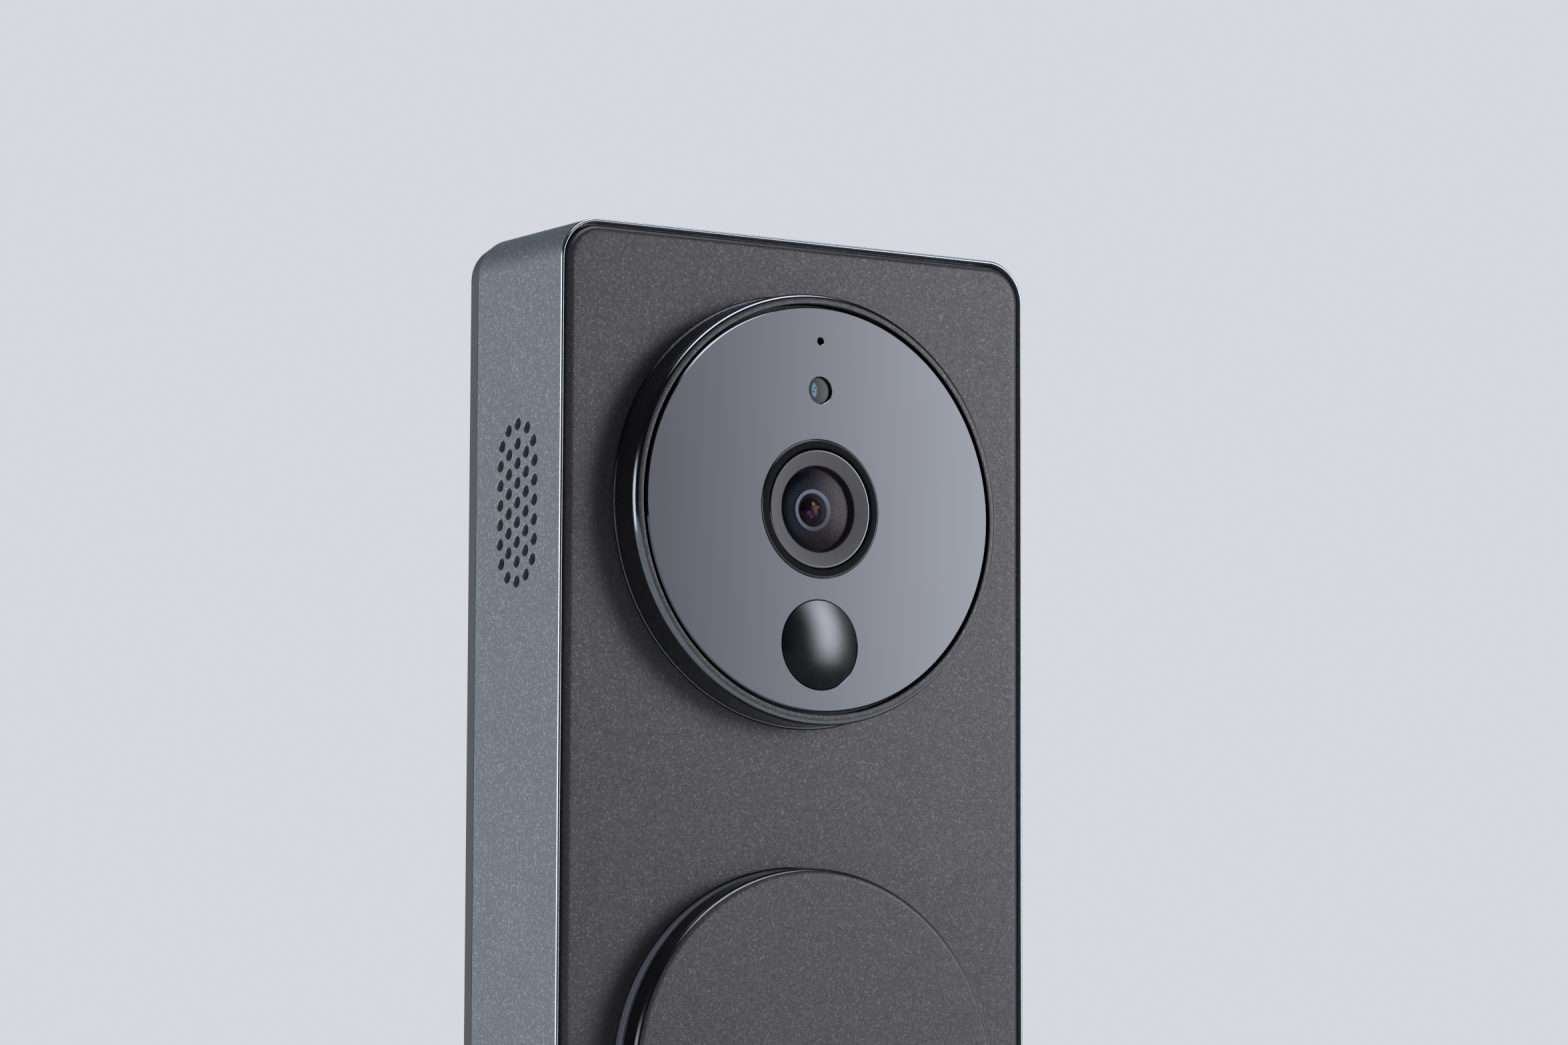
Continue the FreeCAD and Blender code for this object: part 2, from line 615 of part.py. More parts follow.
def turned(body, profile):
    """Revolves a closed half section about the body's own front-to-back axis.

    Each corner is a pair (radius, depth). A third word gives the radius of an arc, bulging to
    the front, from that corner to the next one.
    """
    name = tell_apart(body, "turned")
    sketch = sketch_at(body, name + "_sketch", role="XY_Plane")
    sketch.AttachmentOffset = FreeCAD.Placement(FreeCAD.Vector(), FreeCAD.Rotation(0, 0, 180))
    corners = [FreeCAD.Vector(size(item[0]), size(item[1]), 0) for item in profile]
    ends = []
    for index, item in enumerate(profile):
        start, end = corners[index], corners[(index + 1) % len(corners)]
        if len(item) == 3:
            middle = arc_middle(start, end, size(item[2]))
            edge = sketch.addGeometry(Part.Arc(start, middle, end))
            clockwise = (sketch.getPoint(edge, 1) - start).Length > FINE
        else:
            edge = sketch.addGeometry(Part.LineSegment(start, end))
            clockwise = False
        ends.append((edge, (2, 1) if clockwise else (1, 2)))
    for index, item in enumerate(profile):
        edge, (first, last) = ends[index]
        following, (meet, _) = ends[(index + 1) % len(ends)]
        sketch.addConstraint(Sketcher.Constraint("Coincident", edge, last, following, meet))
        if len(item) == 3:
            hold(sketch, "Radius", edge, to=item[2])
        hold_point(sketch, edge, first, item[0], item[1])
    spin = body.newObject("PartDesign::Revolution", name)
    spin.Profile = sketch
    spin.ReferenceAxis = (sketch, ["V_Axis"])
    spin.Angle = 360
    return spin


def soften(body, radius, chosen, kind="Fillet"):
    """Rounds or bevels the edges that a test chooses."""
    doc.recompute()
    base = body.Tip
    names = [f"Edge{i}" for i, edge in enumerate(base.Shape.Edges, start=1) if chosen(edge)]
    if not names:
        raise RuntimeError(f"no edge to soften on {body.Label}")
    feature = body.newObject(f"PartDesign::{kind}", tell_apart(body, kind.lower()))
    feature.Base = (base, names)
    bind(feature, "Radius" if kind == "Fillet" else "Size", radius)
    return feature


def edge_middle(edge):
    """Gives the point in the middle of an edge."""
    return edge.valueAt((edge.FirstParameter + edge.LastParameter) / 2)


def at_depth(edge, depth):
    """Tells whether an edge lies flat at a depth."""
    return edge.BoundBox.YLength < FINE and abs(edge_middle(edge).y + size(depth)) < FINE


def on_outline(depth, inset):
    """Chooses the edges at a depth that lie on the case's outline, moved inwards."""
    def chosen(edge):
        point = edge_middle(edge)
        x = abs(point.x) - size("corner_across")
        z = abs(point.z) - size("corner_up")
        reach = math.hypot(max(x, 0), max(z, 0)) + min(max(x, z), 0)
        return at_depth(edge, depth) and abs(reach - size(f"case_corner - ({inset})")) < ROUGH
    return chosen


def on_circle(depth, radius):
    """Chooses the round edges at a depth about the body's own axis."""
    def chosen(edge):
        point = edge_middle(edge)
        away = abs(math.hypot(point.x, point.z) - size(radius))
        return at_depth(edge, depth) and away < ROUGH
    return chosen


def coil(body, radius, wire, turns, back, front):
    """Winds a round wire about the body's front-to-back axis between two depths."""
    sketch = sketch_at(body, body.Name + "_wire", role="XY_Plane")
    sketch.AttachmentOffset = FreeCAD.Placement(FreeCAD.Vector(), FreeCAD.Rotation(0, 0, 180))
    circle(f"({wire}) / 2", radius, f"({back}) + ({wire}) / 2")(sketch)
    helix = body.newObject("PartDesign::AdditiveHelix", body.Name + "_helix")
    helix.Profile = sketch
    helix.ReferenceAxis = (sketch, ["V_Axis"])
    helix.Mode = "height-turns-growth"
    bind(helix, "Height", f"({front}) - ({back}) - ({wire})")
    bind(helix, "Turns", turns)
    return helix


def box(name, wide, high, back, front, across, up):
    """Makes one plain block between two depths, about a place on the front view."""
    block = doc.addObject("Part::Box", name)
    bind(block, "Length", wide)
    bind(block, "Width", f"({front}) - ({back})")
    bind(block, "Height", high)
    bind(block, "Placement.Base.x", f"({across}) - ({wide}) / 2")
    bind(block, "Placement.Base.y", f"-({front})")
    bind(block, "Placement.Base.z", f"({up}) - ({high}) / 2")
    return block


def group(label, pieces):
    """Keeps several like pieces as the separate solids of one sub-part."""
    whole = doc.addObject("Part::Compound", label)
    whole.Label = label
    whole.Links = pieces
    return whole


# ---------------------------------------------------------------- case

def corner_places():
    """Gives the places of the case's four corner screws."""
    return [(f"{i} * corner_across", f"{k} * corner_up") for i, k in CORNERS]


def side_frame():
    """Wall round all four sides, with a ledge and a thin lip for the front plate."""
    body = new_body("side_frame")
    slab(body, inset_outline("0"), "cover_seam", "frame_front")
    cut(body, inset_outline("ledge_wall"), "cover_seam", "frame_front")
    cut(body, inset_outline("frame_wall"), "cover_seam", "ledge_back")
    cut(body, inset_outline("lip_wall"), "ledge_front", "frame_front")
    slab(body, circles("corner_boss", corner_places()), "boss_back",
         "boss_back + frame_boss_long")
    cut(body, circles("corner_screw_radius + fit_gap", corner_places()), "boss_back",
        "boss_back + frame_boss_long - blind_end")
    cut(body, rectangle("lip_slot", "2 * frame_wall + air_gap"), "cover_seam",
        "lip_deep + 2 * air_gap", up="-half_high")
    for depth in ("frame_front", "cover_seam"):
        soften(body, "frame_edge", on_outline(depth, "0"))
    cut_grille(body)
    return body


def grille_places():
    """Gives each grille hole's place as (towards the front, up): straight columns, round ends."""
    places = []
    for column in range(-2, 3):
        rows = 5 if column % 2 == 0 else 6
        rows += 2 if column == 0 else 0
        for row in range(rows):
            places.append((f"{column} * grille_column", f"{row - (rows - 1) / 2} * grille_row"))
    for end in (-1, 1):
        for step in range(-2, 3):
            turn = f"{step} * grille_step * 1deg"
            places.append((f"2 * grille_column * sin({turn})",
                           f"{end} * (grille_end + 2 * grille_column * cos({turn}))"))
    return places


def cut_grille(body):
    """Cuts the speaker holes through the left wall."""
    doc.recompute()
    before = body.Shape.Volume
    sketch = sketch_at(body, "grille_sketch", "-half_wide - 1", "-grille_middle", "turret_up",
                       role="YZ_Plane")
    for forward, up in grille_places():
        circle("grille_hole", forward if forward != "0 * grille_column" else "0",
               up if not up.startswith("0.0 *") else "0")(sketch)
    pocket = body.newObject("PartDesign::Pocket", "grille_holes")
    pocket.Profile = sketch
    pocket.Reversed = True
    bind(pocket, "Length", "frame_wall + 2")
    doc.recompute()
    hole = math.pi * size("grille_hole") ** 2 * size("frame_wall")
    print("grille holes:", round((before - body.Shape.Volume) / hole, 2))


def inset_outline(inset):
    """Outline of the case, moved inwards all round."""
    return rounded(f"case_wide - 2 * ({inset})", f"case_high - 2 * ({inset})",
                   f"case_corner - ({inset})")


def front_plate():
    """Plate that fills the front of the frame, with holes for the turret and the button."""
    body = new_body("front_plate")
    slab(body, inset_outline("opening_inset"), "plate_back", "plate_front")
    soften(body, "plate_roll", on_outline("plate_front", "opening_inset"))
    cut(body, circle("turret_radius + round_gap"), "plate_back", "plate_front", up="turret_up")
    cut(body, circle("button_radius + round_gap"), "plate_back", "plate_front", up="button_up")
    return body


def front_seal():
    """Flat gasket between the frame's ledge and the front plate."""
    body = new_body("front_seal")
    slab(body, together(inset_outline("seal_inset"), inset_outline("seal_inset + seal_wide")),
         "ledge_front", "plate_back")
    return body


def rear_cover():
    """Back of the case: tapered band, spigot into the frame, recess for the wall plate."""
    body = new_body("rear_cover")
    slab(body, inset_outline("spigot_inset"), "cover_seam", "spigot_front")
    band = slab(body, inset_outline("band_step"), "cover_seam", "cover_seam + band_deep",
                angle="-band_angle")
    band.Reversed = True
    cut(body, inset_outline("spigot_inset + spigot_wall"), "floor_front", "spigot_front")
    cut(body, rounded("case_wide - 2 * rim_wide", "case_high - 2 * rim_wide", "recess_corner"),
        "cover_back", "floor_back")
    add_hook_pockets(body)
    add_lock_block(body)
    cut(body, seal_outline("spigot_inset - seal_thick"), "groove_back", "groove_front")
    add_standoffs(body)
    add_port_holes(body)
    cut(body, circles("corner_head_radius + screw_gap + snug_gap", corner_places()),
        "cover_back", "screw_seat")
    cut(body, circles("corner_screw_radius + screw_gap", corner_places()), "cover_back",
        "spigot_front")
    return body


def seal_outline(outside):
    """Outline of a ring from an inset of the case down to the foot of the seal's groove."""
    return together(inset_outline(outside), inset_outline("groove_inset"))


def hook_places():
    """Gives the place of each hook's stem: two across, upper and lower."""
    return [(f"{side} * hook_across", up) for up in ("hook_top", "hook_low") for side in SIDES]


def add_hook_pockets(body):
    """Adds a closed pocket for each hook, with the slot that the hook comes in by."""
    wide = "hook_wide + 2 * slide_gap"
    for across, up in hook_places():
        slab(body, rectangle(f"{wide} + 2 * pocket_wall", "hollow_high + 2 * pocket_wall"),
             "floor_front", "hollow_front + pocket_wall", across, f"{up} + hollow_shift")
    for across, up in hook_places():
        cut(body, rectangle(wide, "hollow_high"), "floor_front", "hollow_front", across,
            f"{up} + hollow_shift")
        cut(body, rectangle(wide, "slot_high"), "floor_back", "floor_front", across,
            f"{up} + slot_shift")


def add_lock_block(body):
    """Opens the foot of the cover for the wall plate's lip and adds the block above it."""
    cut(body, rectangle("lip_slot", "2 * rim_wide + slide_gap"), "cover_back", "floor_back",
        up="-half_high")
    cut(body, rectangle("lip_slot", "2 * (lip_thick + air_gap)"), "floor_back",
        "spigot_front", up="-half_high")
    slab(body, rectangle("lip_wide", "lock_block"), "floor_front", "lip_deep + air_gap",
         up="lock_up + lock_block / 2")
    bore(body, circle("insert_radius"), "lock_up", "lock_up + insert_long")


def stand_places():
    """Gives the place of each standoff of the main board."""
    return [(f"board_across + {side} * stand_across", up)
            for up in ("half_high - stand_top_drop", "stand_low_rise - half_high")
            for side in SIDES]


def add_standoffs(body):
    """Adds the four standoffs that carry the main board, with their screw holes."""
    slab(body, circles("stand_radius", stand_places()), "floor_front", "main_back")
    cut(body, circles("small_screw_radius + fit_gap", stand_places()),
        "main_back - small_screw_long", "main_back")


def add_port_holes(body):
    """Cuts the holes for the charging socket, the reset button, the tamper pin, the wires."""
    cut(body, rounded("usb_wide + 2 * slide_gap", "usb_high + 2 * slide_gap",
                      "usb_high / 2"), "floor_back", "floor_front", up="port_up")
    cut(body, circles("pin_radius + slide_gap",
                      [(f"{side} * port_across", "port_up") for side in SIDES]),
        "floor_back", "floor_front")
    cut(body, circles("terminal_screw + screw_gap",
                      [(f"{side} * terminal_across", "terminal_up") for side in SIDES]),
        "floor_back", "floor_front - terminal_skin / 2")


def rear_seal():
    """Rubber ring in the spigot's groove, against the frame's inner wall."""
    body = new_body("rear_seal")
    slab(body, seal_outline("frame_wall"), "groove_back + snug_gap", "groove_front - snug_gap")
    cut(body, rectangle("lip_slot", "2 * (lip_thick + air_gap)"), "groove_back",
        "groove_front", up="-half_high")
    return body


def rear_cover_screws():
    """Four corner screws, with six-sided sockets, that hold the cover in the frame."""
    body = new_body("rear_cover_screws")
    top = "screw_seat - corner_head_thick"
    slab(body, circles("corner_screw_radius", corner_places()), "screw_seat",
         "screw_seat + corner_screw_long")
    slab(body, circles("corner_head_radius", corner_places()), top, "screw_seat")
    cut(body, circles("corner_socket", corner_places()), top, f"{top} + corner_head_thick / 2")
    return body


# ---------------------------------------------------------------- wall plate

def mounting_plate():
    """Wall plate with four upturned hooks, a wire opening and the lip for the lock screw."""
    body = new_body("mounting_plate")
    slab(body, rounded("base_wide", "base_high", "base_corner"), "0", "base_thick",
         up="base_middle")
    slab(body, rectangle("lip_wide", "half_high + base_middle"), "0", "base_thick",
         up="(base_middle - half_high) / 2")
    slab(body, rectangle("lip_wide", "lip_thick"), "0", "lip_deep",
         up="lip_thick / 2 - half_high")
    for across, up in hook_places():
        slab(body, rectangle("hook_wide", "hook_thick"), "base_thick", "hook_front", across,
             f"{up} + hook_thick / 2")
        slab(body, rectangle("hook_wide", "hook_thick + hook_tip"), "hook_front - hook_blade",
             "hook_front", across, f"{up} + (hook_thick + hook_tip) / 2")
    cut(body, rounded("wire_wide", "wire_high", "recess_corner"), "0", "base_thick",
        up="wire_up")
    holes = [("0", f"{side} * wall_hole_spacing / 2") for side in SIDES]
    cut(body, circles("wall_hole_radius", holes), "0", "base_thick")
    cut(body, circles("wall_hole_sink", holes), "base_thick - wall_hole_deep", "base_thick")
    bore(body, circle("lock_radius + fit_gap"), "-half_high", "lip_top")
    bore(body, circle("lock_head + screw_gap"), "-half_high", "lock_head_top")
    return body


def bore(body, outline, low, high):
    """Pockets an outline upwards about the lock screw's axis, from one height to another."""
    name = tell_apart(body, "bore")
    sketch = sketch_at(body, name + "_sketch", low, up="-lock_deep", role="XY_Plane")
    outline(sketch)
    pocket = body.newObject("PartDesign::Pocket", name)
    pocket.Profile = sketch
    pocket.Reversed = True
    bind(pocket, "Length", f"({high}) - ({low})")


def upright(label, steps):
    """Stacks round steps on a vertical axis through the lock screw: (radius, low, high)."""
    body = new_body(label)
    for radius, low, high in steps:
        sketch = sketch_at(body, tell_apart(body, "step"), low, up="-lock_deep",
                           role="XY_Plane")
        circle(radius)(sketch)
        pad = body.newObject("PartDesign::Pad", tell_apart(body, "round"))
        pad.Profile = sketch
        bind(pad, "Length", f"({high}) - ({low})")
    return body


def lock_screw():
    """Screw that goes up through the lip into the doorbell and locks it on its hooks."""
    foot = "lock_head_top - lock_head_thick"
    body = upright("lock_screw", [("lock_head", foot, "lock_head_top"),
                                  ("lock_radius", "lock_head_top",
                                   "lock_head_top + lock_long")])
    bore(body, rectangle("lock_slot_wide", "lock_slot_high"), foot,
         f"{foot} + lock_slot_deep")
    return body


def locking_insert():
    """Brass insert in the cover's block that the lock screw turns in."""
    body = upright("locking_insert", [("insert_radius", "lock_up", "lock_up + insert_long")])
    bore(body, circle("lock_radius + fit_gap"), "lock_up", "lock_up + insert_long")
    return body


# ---------------------------------------------------------------- turret and camera

def turret_ring():
    """Round housing with a rolled edge, a flange under the plate and an inner shoulder."""
    body = new_body("turret_ring", up="turret_up")
    turned(body, [
        ("turret_bore - shoulder_wide", "flange_back"),
        ("turret_radius + flange_over", "flange_back"),
        ("turret_radius + flange_over", "plate_back"),
        ("turret_radius", "plate_back"),
        ("turret_radius", "turret_front"),
        ("turret_bore", "turret_front"),
        ("turret_bore", "shoulder_front"),
        ("turret_bore - shoulder_wide", "shoulder_front")])
    soften(body, "turret_roll", on_circle("turret_front", "turret_radius"))
    return body


def turret_places():
    """Gives the places of the camera board's four screws about the turret's centre."""
    return [(f"{i} * camera_screw_across", f"{k} * camera_screw_up") for i, k in CORNERS]


def turret_carrier():
    """Moulded cup behind the camera panel that holds the lens, the sensors and their board."""
    body = new_body("turret_carrier", up="turret_up")
    slab(body, circle("carrier_radius"), "shoulder_front", "carrier_front")
    cut(body, circle("carrier_radius - carrier_wall"), "shoulder_front", "web_back")
    slab(body, circles("boss_radius", turret_places()), "camera_board_front", "web_back")
    cut(body, circles("small_screw_radius + fit_gap", turret_places()), "camera_board_front",
        "web_back")
    cut(body, together(circle("bezel_radius + bezel_flange + snug_gap"),
                       circle("pir_radius + snug_gap", "0", "-pir_drop"),
                       circle("light_radius + snug_gap", "0", "light_rise"),
                       circle("boot_radius + snug_gap", "0", "mic_rise")),
        "web_back", "carrier_front")
    return body


def window_adhesive():
    """Ring of tape between the carrier and the camera panel."""
    body = new_body("window_adhesive", up="turret_up")
    slab(body, together(circle("window_radius - air_gap"),
                        circle("window_radius - air_gap - tape_wide")),
         "carrier_front", "window_back")
    return body


def camera_window():
    """Glossy round panel with its holes for the lens, the dome, the sensor, the microphone."""
    body = new_body("camera_window", up="turret_up")
    slab(body, circle("window_radius"), "window_back", "turret_front")
    soften(body, "window_edge", on_circle("turret_front", "window_radius"), kind="Chamfer")
    cut(body, together(circle("bezel_radius + hair_gap"),
                       circle("pir_radius + snug_gap", "0", "-pir_drop"),
                       circle("light_radius", "0", "light_rise"),
                       circle("mic_radius", "0", "mic_rise")),
        "window_back", "turret_front")
    return body


def lens_bezel_ring():
    """Dark ring round the lens, with a flange under the panel and a seat for the grey ring."""
    body = new_body("lens_bezel_ring", up="turret_up")
    turned(body, [
        ("annulus_radius - bezel_seat", "web_back"),
        ("bezel_radius + bezel_flange", "web_back"),
        ("bezel_radius + bezel_flange", "carrier_front"),
        ("bezel_radius", "carrier_front"),
        ("bezel_radius", "turret_front + bezel_proud"),
        ("annulus_radius + hair_gap", "turret_front + bezel_proud"),
        ("annulus_radius + hair_gap", "barrel_front"),
        ("annulus_radius - bezel_seat", "barrel_front")])
    soften(body, "bezel_edge", on_circle("turret_front + bezel_proud", "bezel_radius"))
    return body


def lens_face_ring():
    """Matt grey ring that falls in a shallow cone towards the lens."""
    body = new_body("lens_face_ring", up="turret_up")
    turned(body, [
        ("lens_radius + hair_gap", "barrel_front"),
        ("annulus_radius", "barrel_front"),
        ("annulus_radius", "turret_front - annulus_sink"),
        ("lens_radius + hair_gap", "turret_front - annulus_sink - annulus_slope")])
    return body


def lens_front_glass():
    """Crowned front lens."""
    body = new_body("lens_front_glass", up="turret_up")
    turned(body, [
        ("0", "barrel_front"),
        ("lens_radius", "barrel_front"),
        ("lens_radius", "turret_front - lens_sink", "lens_sphere"),
        ("0", "turret_front - lens_sink + lens_crown")])
    return body


def lens_barrel():
    """Tube behind the front lens, with the aperture in it."""
    body = new_body("lens_barrel", up="turret_up")
    turned(body, [
        ("barrel_bore", "barrel_front - barrel_long"),
        ("barrel_radius", "barrel_front - barrel_long"),
        ("barrel_radius", "barrel_front"),
        ("barrel_bore", "barrel_front"),
        ("barrel_bore", "barrel_middle"),
        ("stop_radius", "barrel_middle"),
        ("stop_radius", "barrel_middle - stop_thick"),
        ("barrel_bore", "barrel_middle - stop_thick")])
    return body


def lens_inner_element():
    """Second lens element, resting on the aperture plate inside the barrel."""
    body = new_body("lens_inner_element", up="turret_up")
    turned(body, [
        ("0", "barrel_middle"),
        ("element_radius", "barrel_middle"),
        ("element_radius", "barrel_middle + element_thick", "element_sphere"),
        ("0", "barrel_middle + element_thick + element_crown")])
    return body


def lens_holder():
    """Square holder on the camera board that the barrel screws into."""
    body = new_body("lens_holder", up="turret_up")
    slab(body, rounded("holder_wide", "holder_wide", "holder_corner"), "camera_board_front",
         "camera_board_front + holder_high")
    cut(body, circle("barrel_radius + hair_gap"), "camera_board_front",
        "camera_board_front + holder_high")
    return body


def image_sensor():
    """Imaging chip on the camera board under the lens."""
    return group("image_sensor", [
        box("imager_body", "imager_wide", "imager_high", "camera_board_front",
            "camera_board_front + imager_thick", "0", "turret_up")])


def camera_board():
    """Round board behind the carrier."""
    body = new_body("camera_board", up="turret_up")
    slab(body, circle("camera_board_radius"), "camera_board_back", "camera_board_front")
    cut(body, circles("small_screw_radius + screw_gap", turret_places()),
        "camera_board_back", "camera_board_front")
    return body


def small_screws(label, places, seat, toward_front, up="0"):
    """Makes a set of small screws whose heads sit on a board, with cross-shaped drives."""
    body = new_body(label, up=up)
    sign = 1 if toward_front else -1
    tip = f"{seat} - {sign} * small_screw_long"
    top = f"{seat} + {sign} * small_head_thick"
    low, high = (tip, seat) if toward_front else (seat, tip)
    slab(body, circles("small_screw_radius", places), low, high)
    low, high = (seat, top) if toward_front else (top, seat)
    slab(body, circles("small_head_radius", places), low, high)
    drive = f"{top} - {sign} * small_head_thick / 2"
    low, high = (drive, top) if toward_front else (top, drive)
    for wide, tall in (("small_drive", "small_drive_slot"),
                       ("small_drive_slot", "small_drive")):
        for across, height in places:
            cut(body, rectangle(wide, tall), low, high, across, height)
    return body


def camera_board_screws():
    """Four screws from behind the camera board into the carrier."""
    return small_screws("camera_board_screws", turret_places(), "camera_board_back", False,
                        up="turret_up")


def pir_dome():
    """Glossy dome of the motion sensor, hollow behind."""
    body = new_body("pir_dome", up="turret_up - pir_drop")
    turned(body, [
        ("0", "window_back"),
        ("pir_radius - pir_skin", "window_back"),
        ("pir_radius - pir_skin", "web_back - pir_flange_thick"),
        ("pir_radius + pir_flange", "web_back - pir_flange_thick"),
        ("pir_radius + pir_flange", "web_back"),
        ("pir_radius", "web_back"),
        ("pir_radius", "turret_front", "pir_sphere"),
        ("0", "turret_front + pir_rise")])
    return body


def pir_sensor():
    """Round metal can of the motion sensor on the camera board, with its filter window."""
    body = new_body("pir_sensor", up="turret_up - pir_drop")
    slab(body, circle("pir_can_radius"), "camera_board_front",
         "camera_board_front + pir_can_high")
    slab(body, circle("pir_can_radius + pir_brim"), "camera_board_front",
         "camera_board_front + pir_brim")
    cut(body, rectangle("pir_filter_wide", "pir_filter_high"),
        "camera_board_front + pir_can_high - pir_filter_sink",
        "camera_board_front + pir_can_high")
    return body


def light_sensor_window():
    """Light pipe from the hole above the lens to the light sensor."""
    body = new_body("light_sensor_window", up="turret_up + light_rise")
    slab(body, circle("light_radius"), "camera_board_front + light_chip_thick",
         "window_back - hair_gap")
    return body


def light_sensor():
    """Light sensor chip on the camera board."""
    return group("light_sensor", [
        box("light_chip_body", "light_chip", "light_chip", "camera_board_front",
            "camera_board_front + light_chip_thick", "0", "turret_up + light_rise")])


def microphone():
    """Microphone on the camera board behind the port."""
    return group("microphone", [
        box("microphone_body", "mic_wide", "mic_high", "camera_board_front",
            "camera_board_front + mic_thick", "0", "turret_up + mic_rise")])


def microphone_boot():
    """Rubber tube from the port to the microphone."""
    body = new_body("microphone_boot", up="turret_up + mic_rise")
    slab(body, together(circle("boot_radius"), circle("mic_radius + snug_gap")),
         "camera_board_front + mic_thick", "carrier_front")
    return body


def infrared_leds():
    """Six infrared lights either side of the lens, on the camera board."""
    body = new_body("infrared_leds", up="turret_up")
    places = []
    for side in SIDES:
        for step in (-1, 0, 1):
            turn = f"{step} * infrared_step * 1deg"
            up = "0" if step == 0 else f"infrared_ring * sin({turn})"
            places.append((f"{side} * infrared_ring * cos({turn})", up))
    top = "camera_board_front + infrared_high"
    slab(body, circles("infrared_radius", places), "camera_board_front", top)
    soften(body, "infrared_radius / 2", lambda edge: at_depth(edge, top))
    return body


def camera_connector():
    """Board connector between the camera board and the main board."""
    return group("camera_connector", [
        box("camera_connector_body", "link_wide", "link_high", "main_front",
            "camera_board_back", "0", "turret_up - link_drop")])


# ---------------------------------------------------------------- button

def light_ring():
    """Translucent ring round the foot of the button, with a flange under the plate."""
    body = new_body("light_ring", up="button_up")
    turned(body, [
        ("ring_bore", "flange_back"),
        ("button_radius + flange_over", "flange_back"),
        ("button_radius + flange_over", "plate_back"),
        ("button_radius", "plate_back"),
        ("button_radius", "ring_front"),
        ("ring_bore", "ring_front")])
    return body


def button_cap():
    """Push button: round face with a rolled edge, and a flanged skirt inside the ring."""
    body = new_body("button_cap", up="button_up")
    turned(body, [
        ("0", "cap_under"),
        ("skirt_radius - skirt_wall", "cap_under"),
        ("skirt_radius - skirt_wall", "foot_back"),
        ("skirt_radius + skirt_flange", "foot_back"),
        ("skirt_radius + skirt_flange", "foot_front"),
        ("skirt_radius", "foot_front"),
        ("skirt_radius", "cap_step"),
        ("button_radius", "cap_step"),
        ("button_radius", "turret_front"),
        ("0", "turret_front")])
    soften(body, "button_roll", on_circle("turret_front", "button_radius"))
    return body


def button_plunger():
    """Plunger under the middle of the cap that works the push switch."""
    body = new_body("button_plunger", up="button_up")
    slab(body, circle("plunger_radius"), "stem_front", "cap_under")
    slab(body, circle("plunger_radius + plunger_brim"), "cap_under - plunger_brim_thick",
         "cap_under")
    return body


def switch_stem():
    """Moving stem of the push switch."""
    body = new_body("switch_stem", up="button_up")
    slab(body, circle("stem_radius"), "switch_front - stem_sink", "stem_front")
    return body


def tact_switch():
    """Body of the push switch, with a well that the stem moves in."""
    body = new_body("tact_switch", up="button_up")
    slab(body, rounded("switch_wide", "switch_wide", "switch_corner"), "main_front",
         "switch_front")
    cut(body, circle("stem_radius + fit_gap"), "switch_front - switch_well", "switch_front")
    return body


def return_spring():
    """Coil spring between the guide's floor and the button cap."""
    body = new_body("return_spring", up="button_up")
    coil(body, "spring_radius", "spring_wire", "spring_turns", "guide_floor_front + hair_gap",
         "cap_under - hair_gap")
    return body


def button_guide():
    """Cup behind the front plate that carries the light ring board and the spring."""
    body = new_body("button_guide", up="button_up")
    slab(body, circle("guide_radius"), "guide_floor_back", "plate_back")
    cut(body, circle("led_board_radius + guide_gap"), "guide_floor_front", "plate_back")
    slab(body, together(circle("led_board_radius + guide_gap"), circle("led_board_bore")),
         "guide_floor_front", "led_board_back")
    cut(body, circle("guide_hole"), "guide_floor_back", "guide_floor_front")
    feet = [(f"{i} * foot_ring * cos(45deg)", f"{k} * foot_ring * sin(45deg)")
            for i, k in CORNERS]
    slab(body, circles("foot_radius", feet), "main_front", "guide_floor_back")
    return body


def ring_led_board():
    """Ring-shaped board under the light ring."""
    body = new_body("ring_led_board", up="button_up")
    slab(body, together(circle("led_board_radius"), circle("led_board_bore")),
         "led_board_back", "led_board_front")
    return body


def ring_leds():
    """Small lights on the ring board, evenly round it."""
    pieces = []
    ring = "(button_radius + flange_over - led_inset)"
    for index in range(int(size("led_count"))):
        light = doc.addObject("Part::Box", f"ring_led_{index + 1}")
        bind(light, "Length", "led_deep")
        bind(light, "Width", "led_high")
        bind(light, "Height", "led_wide")
        turn = f"{index} * 360deg / led_count"
        bind(light, "Placement.Base.x", f"{ring} * cos({turn}) + led_wide / 2 * sin({turn})"
                                        f" - led_deep / 2 * cos({turn})")
        bind(light, "Placement.Base.y", "-led_board_front - led_high")
        bind(light, "Placement.Base.z", f"button_up + {ring} * sin({turn})"
                                        f" - led_wide / 2 * cos({turn})"
                                        f" - led_deep / 2 * sin({turn})")
        light.Placement.Rotation = FreeCAD.Rotation(FreeCAD.Vector(0, -1, 0), 1)
        bind(light, "Placement.Rotation.Angle", f"{turn}")
        pieces.append(light)
    return group("ring_leds", pieces)


# ---------------------------------------------------------------- main board and what is on it

def main_board():
    """Long board in front of the battery."""
    body = new_body("main_board", across="board_across")
    slab(body, rounded("board_wide", "case_high - 2 * board_margin", "board_corner"),
         "main_back", "main_front")
    holes = [(f"({across}) - board_across", up) for across, up in stand_places()]
    cut(body, circles("small_screw_radius + screw_gap", holes), "main_back", "main_front")
    return body


def main_board_screws():
    """Four screws that hold the main board on its standoffs."""
    return small_screws("main_board_screws", stand_places(), "main_front", True)


